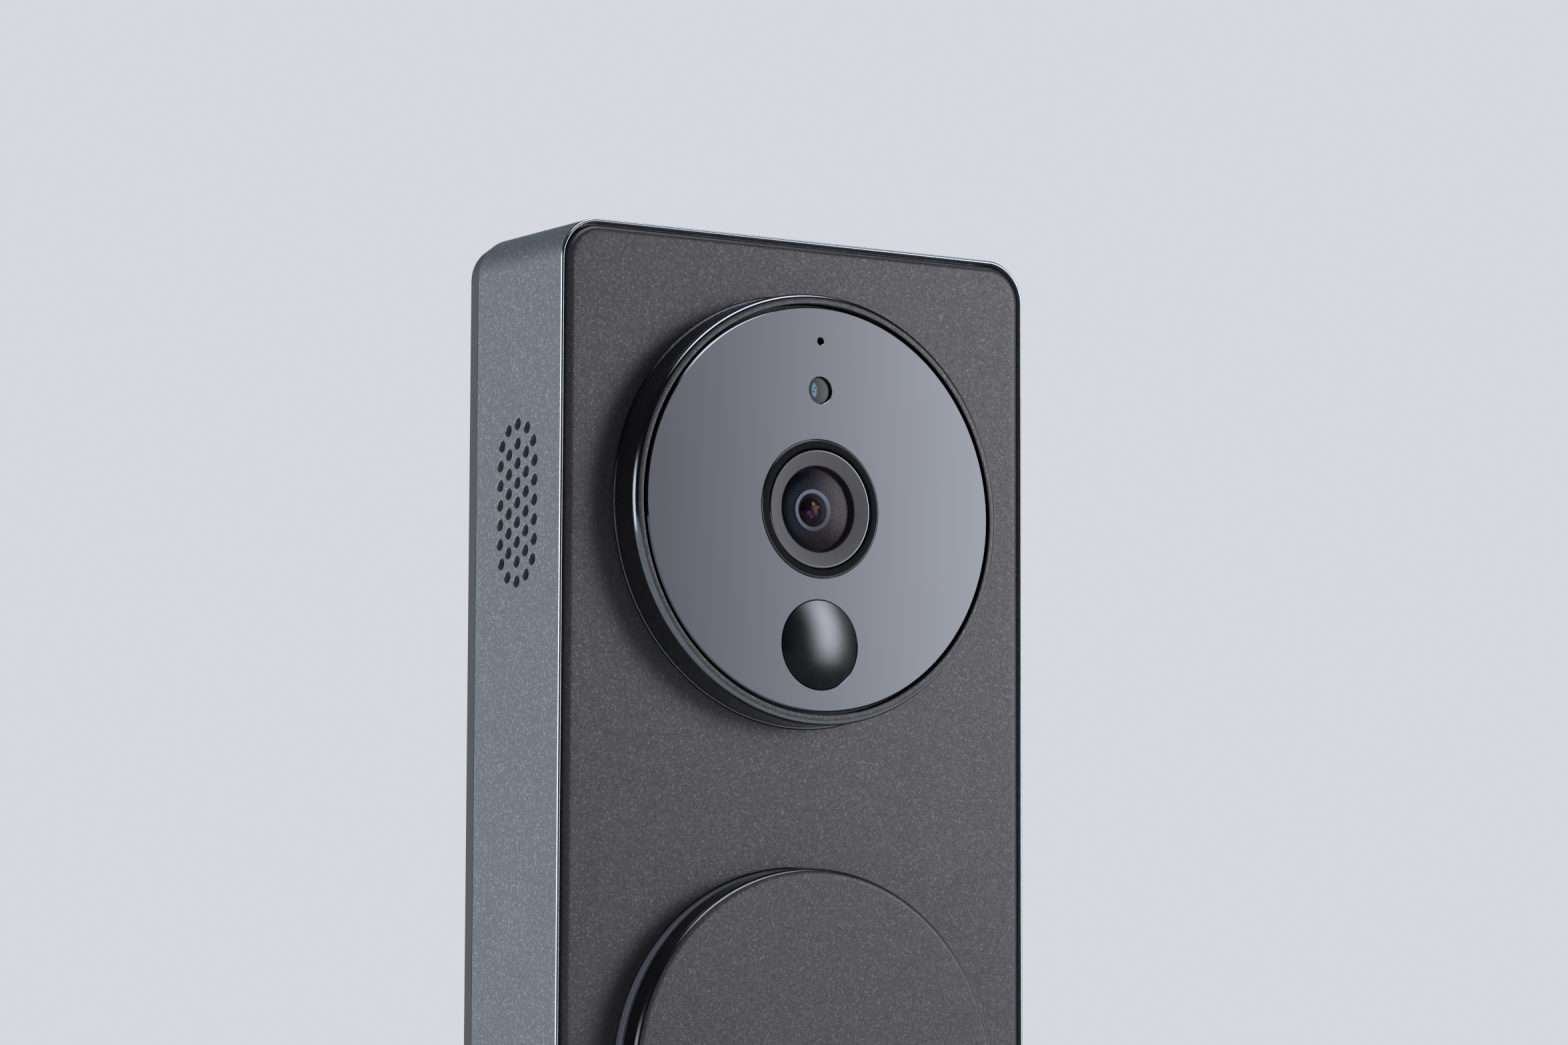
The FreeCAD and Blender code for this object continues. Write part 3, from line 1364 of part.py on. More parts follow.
def processor_shield():
    """Folded metal can over the processor."""
    body = new_body("processor_shield", up="turret_up - shield_drop", across="board_across")
    top = "main_front + shield_thick"
    slab(body, rounded("shield_wide", "shield_high", "shield_corner"), "main_front", top)
    cut(body, rounded("shield_wide - 2 * shield_metal", "shield_high - 2 * shield_metal",
                      "shield_corner - shield_metal"), "main_front", f"{top} - shield_metal")
    soften(body, "shield_edge", lambda edge: at_depth(edge, top))
    return body


def memory_chips():
    """Three chips on the main board, behind the camera board."""
    return group("memory_chips", [
        box(f"memory_chip_{step + 2}", "chip_wide", "chip_wide", "main_front",
            "main_front + chip_thick", f"board_across + {step} * chip_step",
            "turret_up + chip_rise") for step in (-1, 0, 1)])


def wifi_antenna():
    """Flat antenna at the top of the main board."""
    return group("wifi_antenna", [
        box("antenna_body", "antenna_wide", "antenna_high", "main_front",
            "main_front + antenna_thick", "board_across",
            "half_high - board_margin - antenna_margin - antenna_high / 2")])


def battery_tray():
    """Shallow tray on the rear cover's floor."""
    body = new_body("battery_tray", up="tray_middle")
    wide = "battery_wide + 2 * battery_ease"
    high = "battery_high + 2 * battery_ease"
    slab(body, rounded(f"{wide} + 2 * tray_wall", f"{high} + 2 * tray_wall",
                       "battery_corner + tray_wall"), "floor_front", "floor_front + tray_deep")
    cut(body, rounded(wide, high, "battery_corner + battery_ease"), "battery_back",
        "floor_front + tray_deep")
    return body


def battery_pack():
    """Flat rechargeable pack."""
    body = new_body("battery_pack", up="tray_middle")
    slab(body, rounded("battery_wide", "battery_high", "battery_corner"), "battery_back",
         "battery_front")
    soften(body, "battery_edge", lambda edge: edge.BoundBox.YLength < FINE)
    return body


def battery_contacts():
    """Spring contact block between the battery and the main board."""
    return group("battery_contacts", [
        box("battery_contact_block", "contact_wide", "contact_high", "battery_front",
            "main_back", "0", "tray_top - contact_drop")])


def usb_socket():
    """Charging socket that stands on the main board and opens in the recess."""
    body = new_body("usb_socket", up="port_up")
    mouth = "floor_back + usb_sink"
    slab(body, rounded("usb_wide", "usb_high", "usb_high / 2 - hair_gap"), mouth, "main_back")
    cut(body, rounded("usb_wide - 2 * usb_skin", "usb_high - 2 * usb_skin",
                      "usb_high / 2 - usb_skin - hair_gap"), mouth, f"{mouth} + usb_bore")
    slab(body, rectangle("usb_tongue", "usb_tongue_high"), f"{mouth} + usb_tongue_sink",
         f"{mouth} + usb_bore")
    return body


def pin(label, side, back, flange):
    """Small flanged pin that moves forwards onto its switch."""
    body = new_body(label, up="port_up", across=f"{side} * port_across")
    slab(body, circle("pin_radius"), back, "pin_front")
    slab(body, circle("pin_flange"), flange, f"{flange} + pin_flange_thick")
    return body


def reset_button():
    """Reset button at the back, sunk a little into the recess floor."""
    return pin("reset_button", 1, "floor_back + pin_sink", "floor_front")


def tamper_plunger():
    """Pin that feels the wall plate."""
    return pin("tamper_plunger", -1, "base_thick + pin_rest_gap", "floor_front + pin_travel")


def pin_spring(label, side, flange):
    """Coil spring between a pin's flange and its switch."""
    body = new_body(label, up="port_up", across=f"{side} * port_across")
    coil(body, "pin_spring_radius", "pin_spring_wire", "pin_spring_turns",
         f"{flange} + pin_flange_thick + hair_gap", "switch_back - hair_gap")
    return body


def reset_spring():
    """Spring of the reset button."""
    return pin_spring("reset_spring", 1, "floor_front")


def tamper_spring():
    """Spring of the tamper pin."""
    return pin_spring("tamper_spring", -1, "floor_front + pin_travel")


def pin_switch(label, side):
    """Small switch on the back of the main board."""
    return group(label, [
        box(f"{label}_body", "switch_small", "switch_small", "switch_back", "main_back",
            f"{side} * port_across", "port_up")])


def reset_switch():
    """Switch of the reset button."""
    return pin_switch("reset_switch", 1)


def tamper_switch():
    """Switch of the tamper pin."""
    return pin_switch("tamper_switch", -1)


def terminal_plates():
    """Two plates on the back for the doorbell wires."""
    body = new_body("terminal_plates", up="terminal_up")
    for side in SIDES:
        slab(body, rounded("terminal_wide", "terminal_high", "terminal_corner"),
             "floor_back - terminal_thick", "floor_back", f"{side} * terminal_across")
    for side in SIDES:
        cut(body, circle("terminal_screw + fit_gap"), "floor_back - terminal_thick",
            "floor_back", f"{side} * terminal_across")
    return body


def terminal_screws():
    """Two slotted screws on the terminal plates."""
    body = new_body("terminal_screws", up="terminal_up")
    seat = "floor_back - terminal_thick"
    places = [(f"{side} * terminal_across", "0") for side in SIDES]
    top = f"{seat} - terminal_head_thick"
    slab(body, circles("terminal_screw", places), seat, "floor_front - terminal_skin")
    slab(body, circles("terminal_head", places), top, seat)
    for across, up in places:
        cut(body, rectangle("2 * terminal_head + air_gap", "terminal_slot"), top,
            f"{top} + terminal_head_thick / 2", across, up)
    return body


# ---------------------------------------------------------------- speaker

def speaker_outline(inset):
    """Outline of the speaker, moved inwards all round, seen from the left."""
    return rounded(f"speaker_deep - 2 * ({inset})", f"speaker_long - 2 * ({inset})",
                   f"speaker_corner - ({inset}) / 2")


def wall_slab(body, outline, face, thick):
    """Pads an outline inwards from a face that is parallel to the left wall."""
    sketch = sketch_at(body, tell_apart(body, "wall"), f"-({face})", "-grille_middle",
                       "turret_up", role="YZ_Plane")
    outline(sketch)
    pad = body.newObject("PartDesign::Pad", tell_apart(body, "layer"))
    pad.Profile = sketch
    bind(pad, "Length", thick)
    return pad


def speaker_mesh():
    """Fine black mesh behind the speaker holes."""
    body = new_body("speaker_mesh")
    wall_slab(body, speaker_outline("0"), "mesh_face", "mesh_thick")
    return body


def speaker_gasket():
    """Foam ring between the mesh and the speaker."""
    body = new_body("speaker_gasket")
    wall_slab(body, together(speaker_outline("0"), speaker_outline("speaker_rim")),
              "gasket_face", "gasket_thick")
    return body


def speaker():
    """Flat speaker behind the left wall, with its raised cone."""
    body = new_body("speaker")
    wall_slab(body, speaker_outline("0"), "speaker_face", "speaker_thick")
    wall_slab(body, speaker_outline("cone_margin"), "speaker_face + cone_rise",
              "cone_rise + gasket_thick")
    return body


SUB_PARTS = [
    mounting_plate, lock_screw, side_frame, front_plate, front_seal, rear_cover, rear_seal,
    rear_cover_screws, locking_insert, turret_ring, turret_carrier, window_adhesive,
    camera_window, lens_bezel_ring, lens_face_ring, lens_front_glass, lens_barrel,
    lens_inner_element, lens_holder, image_sensor, camera_board, camera_board_screws, pir_dome,
    pir_sensor, light_sensor_window, light_sensor, microphone, microphone_boot, infrared_leds,
    camera_connector, light_ring, button_cap, button_plunger, switch_stem, tact_switch,
    return_spring, button_guide, ring_led_board, ring_leds, main_board, main_board_screws,
    processor_shield, memory_chips, wifi_antenna, battery_tray, battery_pack, battery_contacts,
    usb_socket, reset_button, tamper_plunger, reset_spring, tamper_spring, reset_switch,
    tamper_switch, terminal_plates, terminal_screws, speaker_mesh, speaker_gasket, speaker,
]


def check(made):
    """Stops the build where a feature failed or a sub-part is empty or not valid."""
    faults = [item.Label for item in doc.Objects
              if "Invalid" in item.State or "Error" in item.State]
    for item in made:
        if item.Shape.isNull() or not item.Shape.isValid() or not item.Shape.Solids:
            faults.append(item.Label + " has no sound shape")
    if faults:
        raise RuntimeError("; ".join(faults))


def main():
    fill_sheet()
    made = [build() for build in SUB_PARTS]
    doc.recompute()
    check(made)
    os.makedirs("parts", exist_ok=True)
    for item in made:
        item.Shape.exportStep(f"parts/{item.Label}.step")
        extent = item.Shape.BoundBox
        print(f"{item.Label:22s} solids {len(item.Shape.Solids):2d}"
              f"  volume {item.Shape.Volume:9.1f}  x {extent.XMin:6.1f} {extent.XMax:6.1f}"
              f"  depth {-extent.YMax:5.2f} {-extent.YMin:5.2f}"
              f"  z {extent.ZMin:6.1f} {extent.ZMax:6.1f}")


main()
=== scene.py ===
# %% [markdown]
# # A battery video doorbell
#
# The doorbell hangs on a wall plate. Its case is a grey metallic frame with a dark front
# plate. A round camera turret stands out at the top, a round push button of the same size
# at the bottom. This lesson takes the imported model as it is, gives every piece its finish,
# and builds the surfaces that the eye rests on again as smooth, worked-out shapes.

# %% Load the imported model
import math

import bmesh
import bpy
import numpy as np
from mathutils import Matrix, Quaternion, Vector, geometry
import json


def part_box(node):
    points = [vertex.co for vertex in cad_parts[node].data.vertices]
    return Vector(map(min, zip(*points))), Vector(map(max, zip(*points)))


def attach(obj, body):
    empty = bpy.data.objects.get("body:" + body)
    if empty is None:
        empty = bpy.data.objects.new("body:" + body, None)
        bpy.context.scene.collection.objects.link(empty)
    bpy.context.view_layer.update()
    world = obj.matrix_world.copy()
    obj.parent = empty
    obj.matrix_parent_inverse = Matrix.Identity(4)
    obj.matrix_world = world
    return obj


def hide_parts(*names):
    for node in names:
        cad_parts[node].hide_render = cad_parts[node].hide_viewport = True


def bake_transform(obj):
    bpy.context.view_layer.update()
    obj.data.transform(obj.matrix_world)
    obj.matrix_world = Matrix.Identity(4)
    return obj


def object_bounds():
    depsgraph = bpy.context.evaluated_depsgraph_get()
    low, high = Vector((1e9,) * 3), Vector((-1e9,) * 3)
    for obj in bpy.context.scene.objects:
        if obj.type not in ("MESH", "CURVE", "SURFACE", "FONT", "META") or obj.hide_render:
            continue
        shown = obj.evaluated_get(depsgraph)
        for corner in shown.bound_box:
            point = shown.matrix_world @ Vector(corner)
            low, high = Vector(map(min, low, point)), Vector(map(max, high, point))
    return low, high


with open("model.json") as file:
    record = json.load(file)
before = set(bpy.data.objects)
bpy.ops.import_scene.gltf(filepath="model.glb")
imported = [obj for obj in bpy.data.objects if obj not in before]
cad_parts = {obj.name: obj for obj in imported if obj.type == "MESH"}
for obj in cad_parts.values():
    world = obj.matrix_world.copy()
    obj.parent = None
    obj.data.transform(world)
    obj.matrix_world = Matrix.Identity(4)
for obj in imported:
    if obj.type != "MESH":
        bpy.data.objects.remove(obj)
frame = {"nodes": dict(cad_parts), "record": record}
cad_box = [list(corner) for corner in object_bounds()]

# %% [markdown]
# ## Sizes
#
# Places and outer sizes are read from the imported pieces, so the new surfaces sit exactly
# where the model has them. Depth is counted from the wall forwards, so it is minus y. On the
# doorbell, a name in capitals is a size in millimetres, unless it is multiplied by MM at
# once, or is an angle, a count or a share. The studio and the camera are in metres.

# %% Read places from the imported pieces
MM = 0.001


def reach(node):
    """Half the width of a piece about its middle: the radius of a round one."""
    low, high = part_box(node)
    return (high.x - low.x) / 2


def middle(node):
    """Middle of a piece seen from the front, as (across, up)."""
    low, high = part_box(node)
    return np.array([(low.x + high.x) / 2, (low.z + high.z) / 2])


def depths(node):
    """Depth of a piece's back and of its front."""
    low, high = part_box(node)
    return -high.y, -low.y


turret = middle("turret_ring")
button = middle("button_cap")
frame_back, frame_front = depths("side_frame")
plate_back, plate_front = depths("front_plate")
window_back, window_front = depths("camera_window")
print("turret at", turret / MM, "button at", button / MM)

# %% [markdown]
# ## Shapes from arrays
#
# Nearly every piece here is a profile carried along a closed path: a circle for the turret,
# the lens and the button, a rounded rectangle for the case. One function rounds a profile's
# corners, one gives each kind of path, and one carries the profile along it. A moulded or
# cast edge is never sharp, and it is the small roundings that catch the light. A Bevel or a
# Screw modifier could do the same, but here each radius stays a number that can be read.


# %% Profiles with rounded corners
def unit(vector):
    """Vector of length one in the same direction."""
    return vector / np.linalg.norm(vector)


def rounded(points, steps=8):
    """Profile through (reach, depth, radius) corners, in millimetres.

    Each corner becomes an arc that touches both runs: its middle lies on the bisector at
    radius / sin(half the angle), and its points turn evenly from one run to the other.
    """
    corners = np.array([list(point) + [0] * (3 - len(point)) for point in points], float)
    rows = []
    for index, (place, radius) in enumerate(zip(corners[:, :2], corners[:, 2])):
        if radius == 0:
            rows.append(place[None])
            continue
        back = unit(corners[index - 1, :2] - place)
        on = unit(corners[(index + 1) % len(corners), :2] - place)
        half = math.acos(np.clip(back @ on, -1, 1)) / 2
        hub = place + unit(back + on) * radius / math.sin(half)
        first = place + back * radius / math.tan(half) - hub
        last = place + on * radius / math.tan(half) - hub
        turn = math.pi - 2 * half
        share = np.linspace(0, 1, steps + 1)[:, None]
        arc = np.sin((1 - share) * turn) * first + np.sin(share * turn) * last
        rows.append(hub + arc / math.sin(turn))
    return np.concatenate(rows) * MM


def crown(rim, depth, rise, steps=24):
    """Profile of a shallow dome: part of a sphere from its rim to its pole."""
    ball = (rim ** 2 + rise ** 2) / (2 * rise)
    turn = np.linspace(math.asin(rim / ball), 0, steps + 1)
    return np.stack([ball * np.sin(turn), depth + rise - ball * (1 - np.cos(turn))], -1)


print("points on one rounded corner:", len(rounded([(0, 0), (2, 0, 0.5), (2, 2)])) - 2)


# %% Paths and the surfaces carried along them
def circle_path(centre, count=256):
    """Path at distance r from a centre: centre + r (sin t, cos t)."""
    turn = np.linspace(0, 2 * math.pi, count, endpoint=False)
    around = np.stack([np.sin(turn), np.cos(turn)], -1)
    return lambda out: np.asarray(centre) + np.asarray(out)[:, None, None] * around


def case_path(corner, steps=20):
    """Rounded rectangle of the case: four arcs about the corners' middles."""
    half = np.array([reach("side_frame"), cad_box[1][2]]) - corner
    turn = np.linspace(0, math.pi / 2, steps + 1) + np.arange(4)[:, None] * math.pi / 2
    around = np.stack([np.sin(turn), np.cos(turn)], -1)
    hubs = np.array([[1, 1], [1, -1], [-1, -1], [-1, 1]])[:, None] * half
    hubs = np.broadcast_to(hubs, around.shape).reshape(-1, 2)
    around = around.reshape(-1, 2)
    return lambda out: hubs + (corner + np.asarray(out))[:, None, None] * around


def carried(path, profile, closed=True):
    """Sheet whose row i is the path at profile reach i, all of it at profile depth i."""
    across, up = np.moveaxis(path(profile[:, 0]), -1, 0)
    depth = np.broadcast_to(-profile[:, 1:2], across.shape)
    return np.stack([across, depth, up], -1), closed


def grid_faces(rows, columns, closed):
    """Four-sided faces between neighbouring rows and columns; columns join up."""
    row = np.arange(rows if closed else rows - 1)[:, None]
    column = np.arange(columns)[None]
    below, beside = (row + 1) % rows, (column + 1) % columns
    corners = [row * columns + column, below * columns + column,
               below * columns + beside, row * columns + beside]
    return np.stack(corners, -1).reshape(-1, 4)


print("points round the turret:", len(circle_path(turret)([0])[0]))

# %% [markdown]
# ## Flat faces with holes
#
# The front plate, the camera panel and the pierced side wall are flat faces with round
# holes. A grid cannot follow them, so their outlines are worked out as arrays and Blender's
# own constrained triangulation fills the space between. A Boolean modifier would cut the
# holes too, but can leave slivers at their rims. Here all triangles lie in one plane, so a
# mirror-like panel stays as flat as glass.


# %% Fill between outlines
INSIDE_WITH_HOLES, SAME_POINT = 2, 1e-7


def filled(outlines):
    """Triangles inside the first outline and outside the others, as (points, faces)."""
    points = np.concatenate(outlines) / MM
    ends = np.cumsum([0] + [len(outline) for outline in outlines])
    loops = [list(range(first, last)) for first, last in zip(ends[:-1], ends[1:])]
    found = geometry.delaunay_2d_cdt(points.tolist(), [], loops, INSIDE_WITH_HOLES,
                                     SAME_POINT)
    return np.array(found[0]) * MM, np.array(found[2])


def front_face(outlines, depth):
    """Flat face seen from the front, at a depth."""
    points, faces = filled(outlines)
    return np.stack([points[:, 0], np.full(len(points), -depth), points[:, 1]], -1), faces


def pierced(edges, back, front):
    """Sheets of a flat plate: the edges of its outline and its holes, then its two faces.

    Each edge is a path and a profile that runs from the back face to the front face.
    """
    sheets = [carried(path, profile, False) for path, profile in edges]
    tops = [path(profile[-1:, 0])[0] for path, profile in edges]
    bottoms = [path(profile[:1, 0])[0] for path, profile in edges]
    return sheets + [front_face(tops, front), front_face(bottoms, back)]


print("triangles in a filled circle:", len(filled([circle_path(turret)([MM])[0]])[1]))


# %% [markdown]
# ## From sheets to a piece
#
# A piece is made of sheets that share their edges. Merging the doubled points closes its
# seams and poles. Recalculating the normals afterwards turns every face outwards. Edges
# sharper than 40 degrees stay sharp, and the weighted normals keep large flats flat beside
# their small roundings. A Subdivision Surface modifier would smooth the roundings too, but
# it would pull the flats and the openings out of shape.


# %% Build a piece
SHARP = math.radians(40)
DOUBLE = 1e-7


def placed(name, data):
    """New object with some data, put into the scene."""
    thing = bpy.data.objects.new(name, data)
    bpy.context.scene.collection.objects.link(thing)
    return thing


def joined(sheets):
    """Points, faces and smoothness of several sheets, each a grid or a filled flat face."""
    points, faces, smooth, offset = [], [], [], 0
    for places, form in sheets:
        if isinstance(form, (bool, np.bool_)):
            found = grid_faces(*places.shape[:2], form)
        else:
            found = form
        points.append(places.reshape(-1, 3))
        faces += (found + offset).tolist()
        smooth.append(np.full(len(found), found.shape[1] == 4))
        offset += places.size // 3
    return np.concatenate(points), faces, np.concatenate(smooth)


def build(name, sheets, body, materials, nodes=(), zones=None):
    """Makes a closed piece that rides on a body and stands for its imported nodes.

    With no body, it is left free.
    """
    points, faces, smooth = joined(sheets)
    mesh = bpy.data.meshes.new(name)
    mesh.from_pydata(points.tolist(), [], faces)
    mesh.polygons.foreach_set("use_smooth", smooth)
    work = bmesh.new()
    work.from_mesh(mesh)
    bmesh.ops.remove_doubles(work, verts=work.verts, dist=DOUBLE)
    bmesh.ops.recalc_face_normals(work, faces=work.faces)
    work.to_mesh(mesh)
    open_edges = sum(not edge.is_manifold for edge in work.edges)
    work.free()
    mesh.set_sharp_from_angle(angle=SHARP)
    for material in materials:
        mesh.materials.append(material)
    if zones:
        centres = np.zeros(len(mesh.polygons) * 3)
        mesh.polygons.foreach_get("center", centres)
        zone = zones(centres.reshape(-1, 3)).astype(np.int32)
        mesh.polygons.foreach_set("material_index", zone)
    piece = placed(name, mesh)
    shading = piece.modifiers.new("weighted normals", "WEIGHTED_NORMAL")
    shading.keep_sharp = True
    if body:
        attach(piece, body)
    if nodes:
        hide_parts(*nodes)
    print(name, "faces", len(mesh.polygons), "open edges", open_edges)
    return piece


# %% [markdown]
# ## Adding shader nodes
#
# Colours are written as sRGB hex, as in a paint chart, and one function turns them to the
# linear values that the renderer works with. One function adds a node with its settings and
# its links, and four short ones add the kinds that come again and again. What is the same
# all over a surface is set on the shader's own socket.


# %% Colours and nodes
MIX_FIRST, MIX_SECOND, MIX_COLOUR = 6, 7, 2  # a Mix node's colour sockets have these numbers


def linear(code, alpha=1.0):
    """Linear colour of an sRGB hex code: c / 12.92, or ((c + 0.055) / 1.055) ^ 2.4."""
    parts = np.array([int(code[i:i + 2], 16) for i in (0, 2, 4)]) / 255
    bright = np.where(parts <= 0.04045, parts / 12.92, ((parts + 0.055) / 1.055) ** 2.4)
    return (*bright.tolist(), alpha)


def add(tree, kind, settings=None, inputs=None):
    """Adds a node, sets its properties, and sets or links its input sockets."""
    node = tree.nodes.new("ShaderNode" + kind)
    for name, value in (settings or {}).items():
        setattr(node, name, value)
    for name, value in (inputs or {}).items():
        socket = node.inputs[name]
        if isinstance(value, bpy.types.NodeSocket):
            tree.links.new(value, socket)
        else:
            socket.default_value = value
    return node


def worked(tree, operation, *values):
    """Result of a sum on numbers or sockets."""
    return add(tree, "Math", {"operation": operation}, dict(enumerate(values))).outputs[0]


def length_of(tree, vector):
    """Length of a vector."""
    return add(tree, "VectorMath", {"operation": "LENGTH"}, {0: vector}).outputs["Value"]


def eased(tree, value, first, last, least=0.0, most=1.0):
    """Runs softly from least to most while a value runs from first to last."""
    return add(tree, "MapRange", {"interpolation_type": "SMOOTHSTEP"},
               {"Value": value, "From Min": first, "From Max": last, "To Min": least,
                "To Max": most}).outputs[0]


def mixed(tree, share, first, second):
    """The first colour where the share is 0, the second where it is 1."""
    return add(tree, "Mix", {"data_type": "RGBA"},
               {"Factor": share, MIX_FIRST: first, MIX_SECOND: second}).outputs[MIX_COLOUR]


def start(name, inputs):
    """New material with one shader; gives the material, its tree and the shader."""
    material = bpy.data.materials.new(name)
    material.use_nodes = True
    tree = material.node_tree
    tree.nodes.clear()
    shader = add(tree, "BsdfPrincipled", None, inputs)
    add(tree, "OutputMaterial", None, {"Surface": shader.outputs[0]})
    return material, tree, shader


def per_mm(size):
    """Scale of a pattern whose features are a size in millimetres apart."""
    return 1 / (size * MM)


print("the middle grey 808080 is", round(linear("808080")[0], 3), "as light")


# %% [markdown]
# ## Metallic paint
#
# The frame, the front plate and the button's face are sprayed with metallic paint: fine
# flakes lie in a satin binder. Most of them lie flat and melt into one even grey, and a few
# face the light and glint: these glints are painted in, as lighter flakes. Cells of a Voronoi
# pattern stand for the flakes: each has a number of its own, which decides whether it is
# dark, plain or a painted glint, and a small tilt.
# A noise pattern would give soft blotches without edges, so it only makes the coat a little
# lighter or darker over some millimetres. Real flakes are 0.03 mm wide; they are drawn at
# 0.16 mm, because finer ones would not show.

# %% Metallic paint
FLAKE, CLOUD, CLOUD_DEPTH, ROUGH_SPREAD = 0.16, 9.0, 0.06, 0.05
PLAIN_FROM, PLAIN_TO = 0.3, 0.82


def flake_paint(name, deep, plain, painted_glint, tilt, rough):
    """Satin paint with metal flakes: a few dark ones and a few painted glints among plain ones.
    """
    material, tree, shader = start(name, {"Metallic": 0.5, "Coat Weight": 0.1,
                                          "Coat Roughness": 0.3})
    place = add(tree, "TexCoord").outputs["Object"]
    flakes = add(tree, "TexVoronoi", None, {"Vector": place, "Scale": per_mm(FLAKE)})
    parts = add(tree, "SeparateColor", None, {"Color": flakes.outputs["Color"]})
    ramp = add(tree, "ValToRGB", None, {"Fac": parts.outputs[0]})
    stops = ramp.color_ramp.elements
    # the ramp runs from dark flakes through plain ones to painted glints, lighter flakes that
    # stand for those turned to the light
    stops[0].position, stops[0].color = 0.0, linear(deep)
    stops[1].position, stops[1].color = 1.0, linear(painted_glint)
    for position in (PLAIN_FROM, PLAIN_TO):
        stops.new(position).color = linear(plain)
    cloud = add(tree, "TexNoise", None, {"Vector": place, "Scale": per_mm(CLOUD), "Detail": 2.0})
    shade = add(tree, "MapRange", None, {"Value": cloud.outputs["Fac"],
                                         "To Min": 1 - CLOUD_DEPTH, "To Max": 1 + CLOUD_DEPTH})
    tone = add(tree, "VectorMath", {"operation": "SCALE"},
               {0: ramp.outputs["Color"], "Scale": shade.outputs[0]})
    tree.links.new(tone.outputs[0], shader.inputs["Base Color"])
    # a cell's colour is three random numbers; less a half, they lean its flake either way
    lean = add(tree, "VectorMath", {"operation": "SUBTRACT"},
               {0: flakes.outputs["Color"], 1: (0.5, 0.5, 0.5)})
    lean = add(tree, "VectorMath", {"operation": "SCALE"}, {0: lean.outputs[0], "Scale": tilt})
    upright = add(tree, "NewGeometry").outputs["Normal"]
    leant = add(tree, "VectorMath", {"operation": "ADD"}, {0: upright, 1: lean.outputs[0]})
    leant = add(tree, "VectorMath", {"operation": "NORMALIZE"}, {0: leant.outputs[0]})
    tree.links.new(leant.outputs[0], shader.inputs["Normal"])
    dull = add(tree, "MapRange", None, {"Value": parts.outputs[1],
                                        "To Min": rough - ROUGH_SPREAD,
                                        "To Max": rough + ROUGH_SPREAD})
    tree.links.new(dull.outputs[0], shader.inputs["Roughness"])
    return material


# cool grey with lively flakes on the frame; warmer, darker and calmer on plate and button; the
# last tone of each is a painted glint
frame_paint = flake_paint("cool_grey_metallic_paint", "71797F", "80878E", "B0B7BD", 0.16, 0.42)
plate_paint = flake_paint("warm_dark_metallic_paint", "424043", "484649", "5F5D62", 0.08, 0.42)
print("paints:", frame_paint.name, "and", plate_paint.name)

# %% [markdown]
# ## Moulded, rolled and plated finishes
#
# Everything else is moulded plastic, rubber, plated steel or a bought part. Each has a base
# tone that wanders a little, a roughness that wanders with it, and a fine relief: spark
# texture from the mould, a skin of solder mask, or the grain of rolled metal. Each could
# have a node tree of its own, but they differ only in values, so one recipe covers them.


# %% One recipe for the plainer finishes
LOW_END, HIGH_END, DULL_SPREAD = 0.3, 0.7, 0.12


def plain_finish(name, low, high, grain, rough, relief=0.02, **inputs):
    """Finish whose tone wanders from low to high over a grain size, with a fine relief.

    Grain and relief are in millimetres. Further inputs name the shader's own sockets.
    """
    sockets = {key.replace("_", " "): value for key, value in inputs.items()}
    material, tree, shader = start(name, sockets)
    place = add(tree, "TexCoord").outputs["Object"]
    cloud = add(tree, "TexNoise", None, {"Vector": place, "Scale": per_mm(grain),
                                         "Detail": 4.0, "Roughness": 0.6})
    ramp = add(tree, "ValToRGB", None, {"Fac": cloud.outputs["Fac"]})
    stops = ramp.color_ramp.elements
    stops[0].position, stops[0].color = LOW_END, linear(low)
    stops[1].position, stops[1].color = HIGH_END, linear(high)
    tree.links.new(ramp.outputs["Color"], shader.inputs["Base Color"])
    dull = add(tree, "MapRange", None,
               {"Value": cloud.outputs["Fac"], "From Min": LOW_END, "From Max": HIGH_END,
                "To Min": rough * (1 - DULL_SPREAD), "To Max": rough * (1 + DULL_SPREAD)})
    tree.links.new(dull.outputs[0], shader.inputs["Roughness"])
    bump = add(tree, "Bump", None, {"Height": cloud.outputs["Fac"], "Strength": 1.0,
                                    "Distance": relief * MM})
    tree.links.new(bump.outputs[0], shader.inputs["Normal"])
    return material


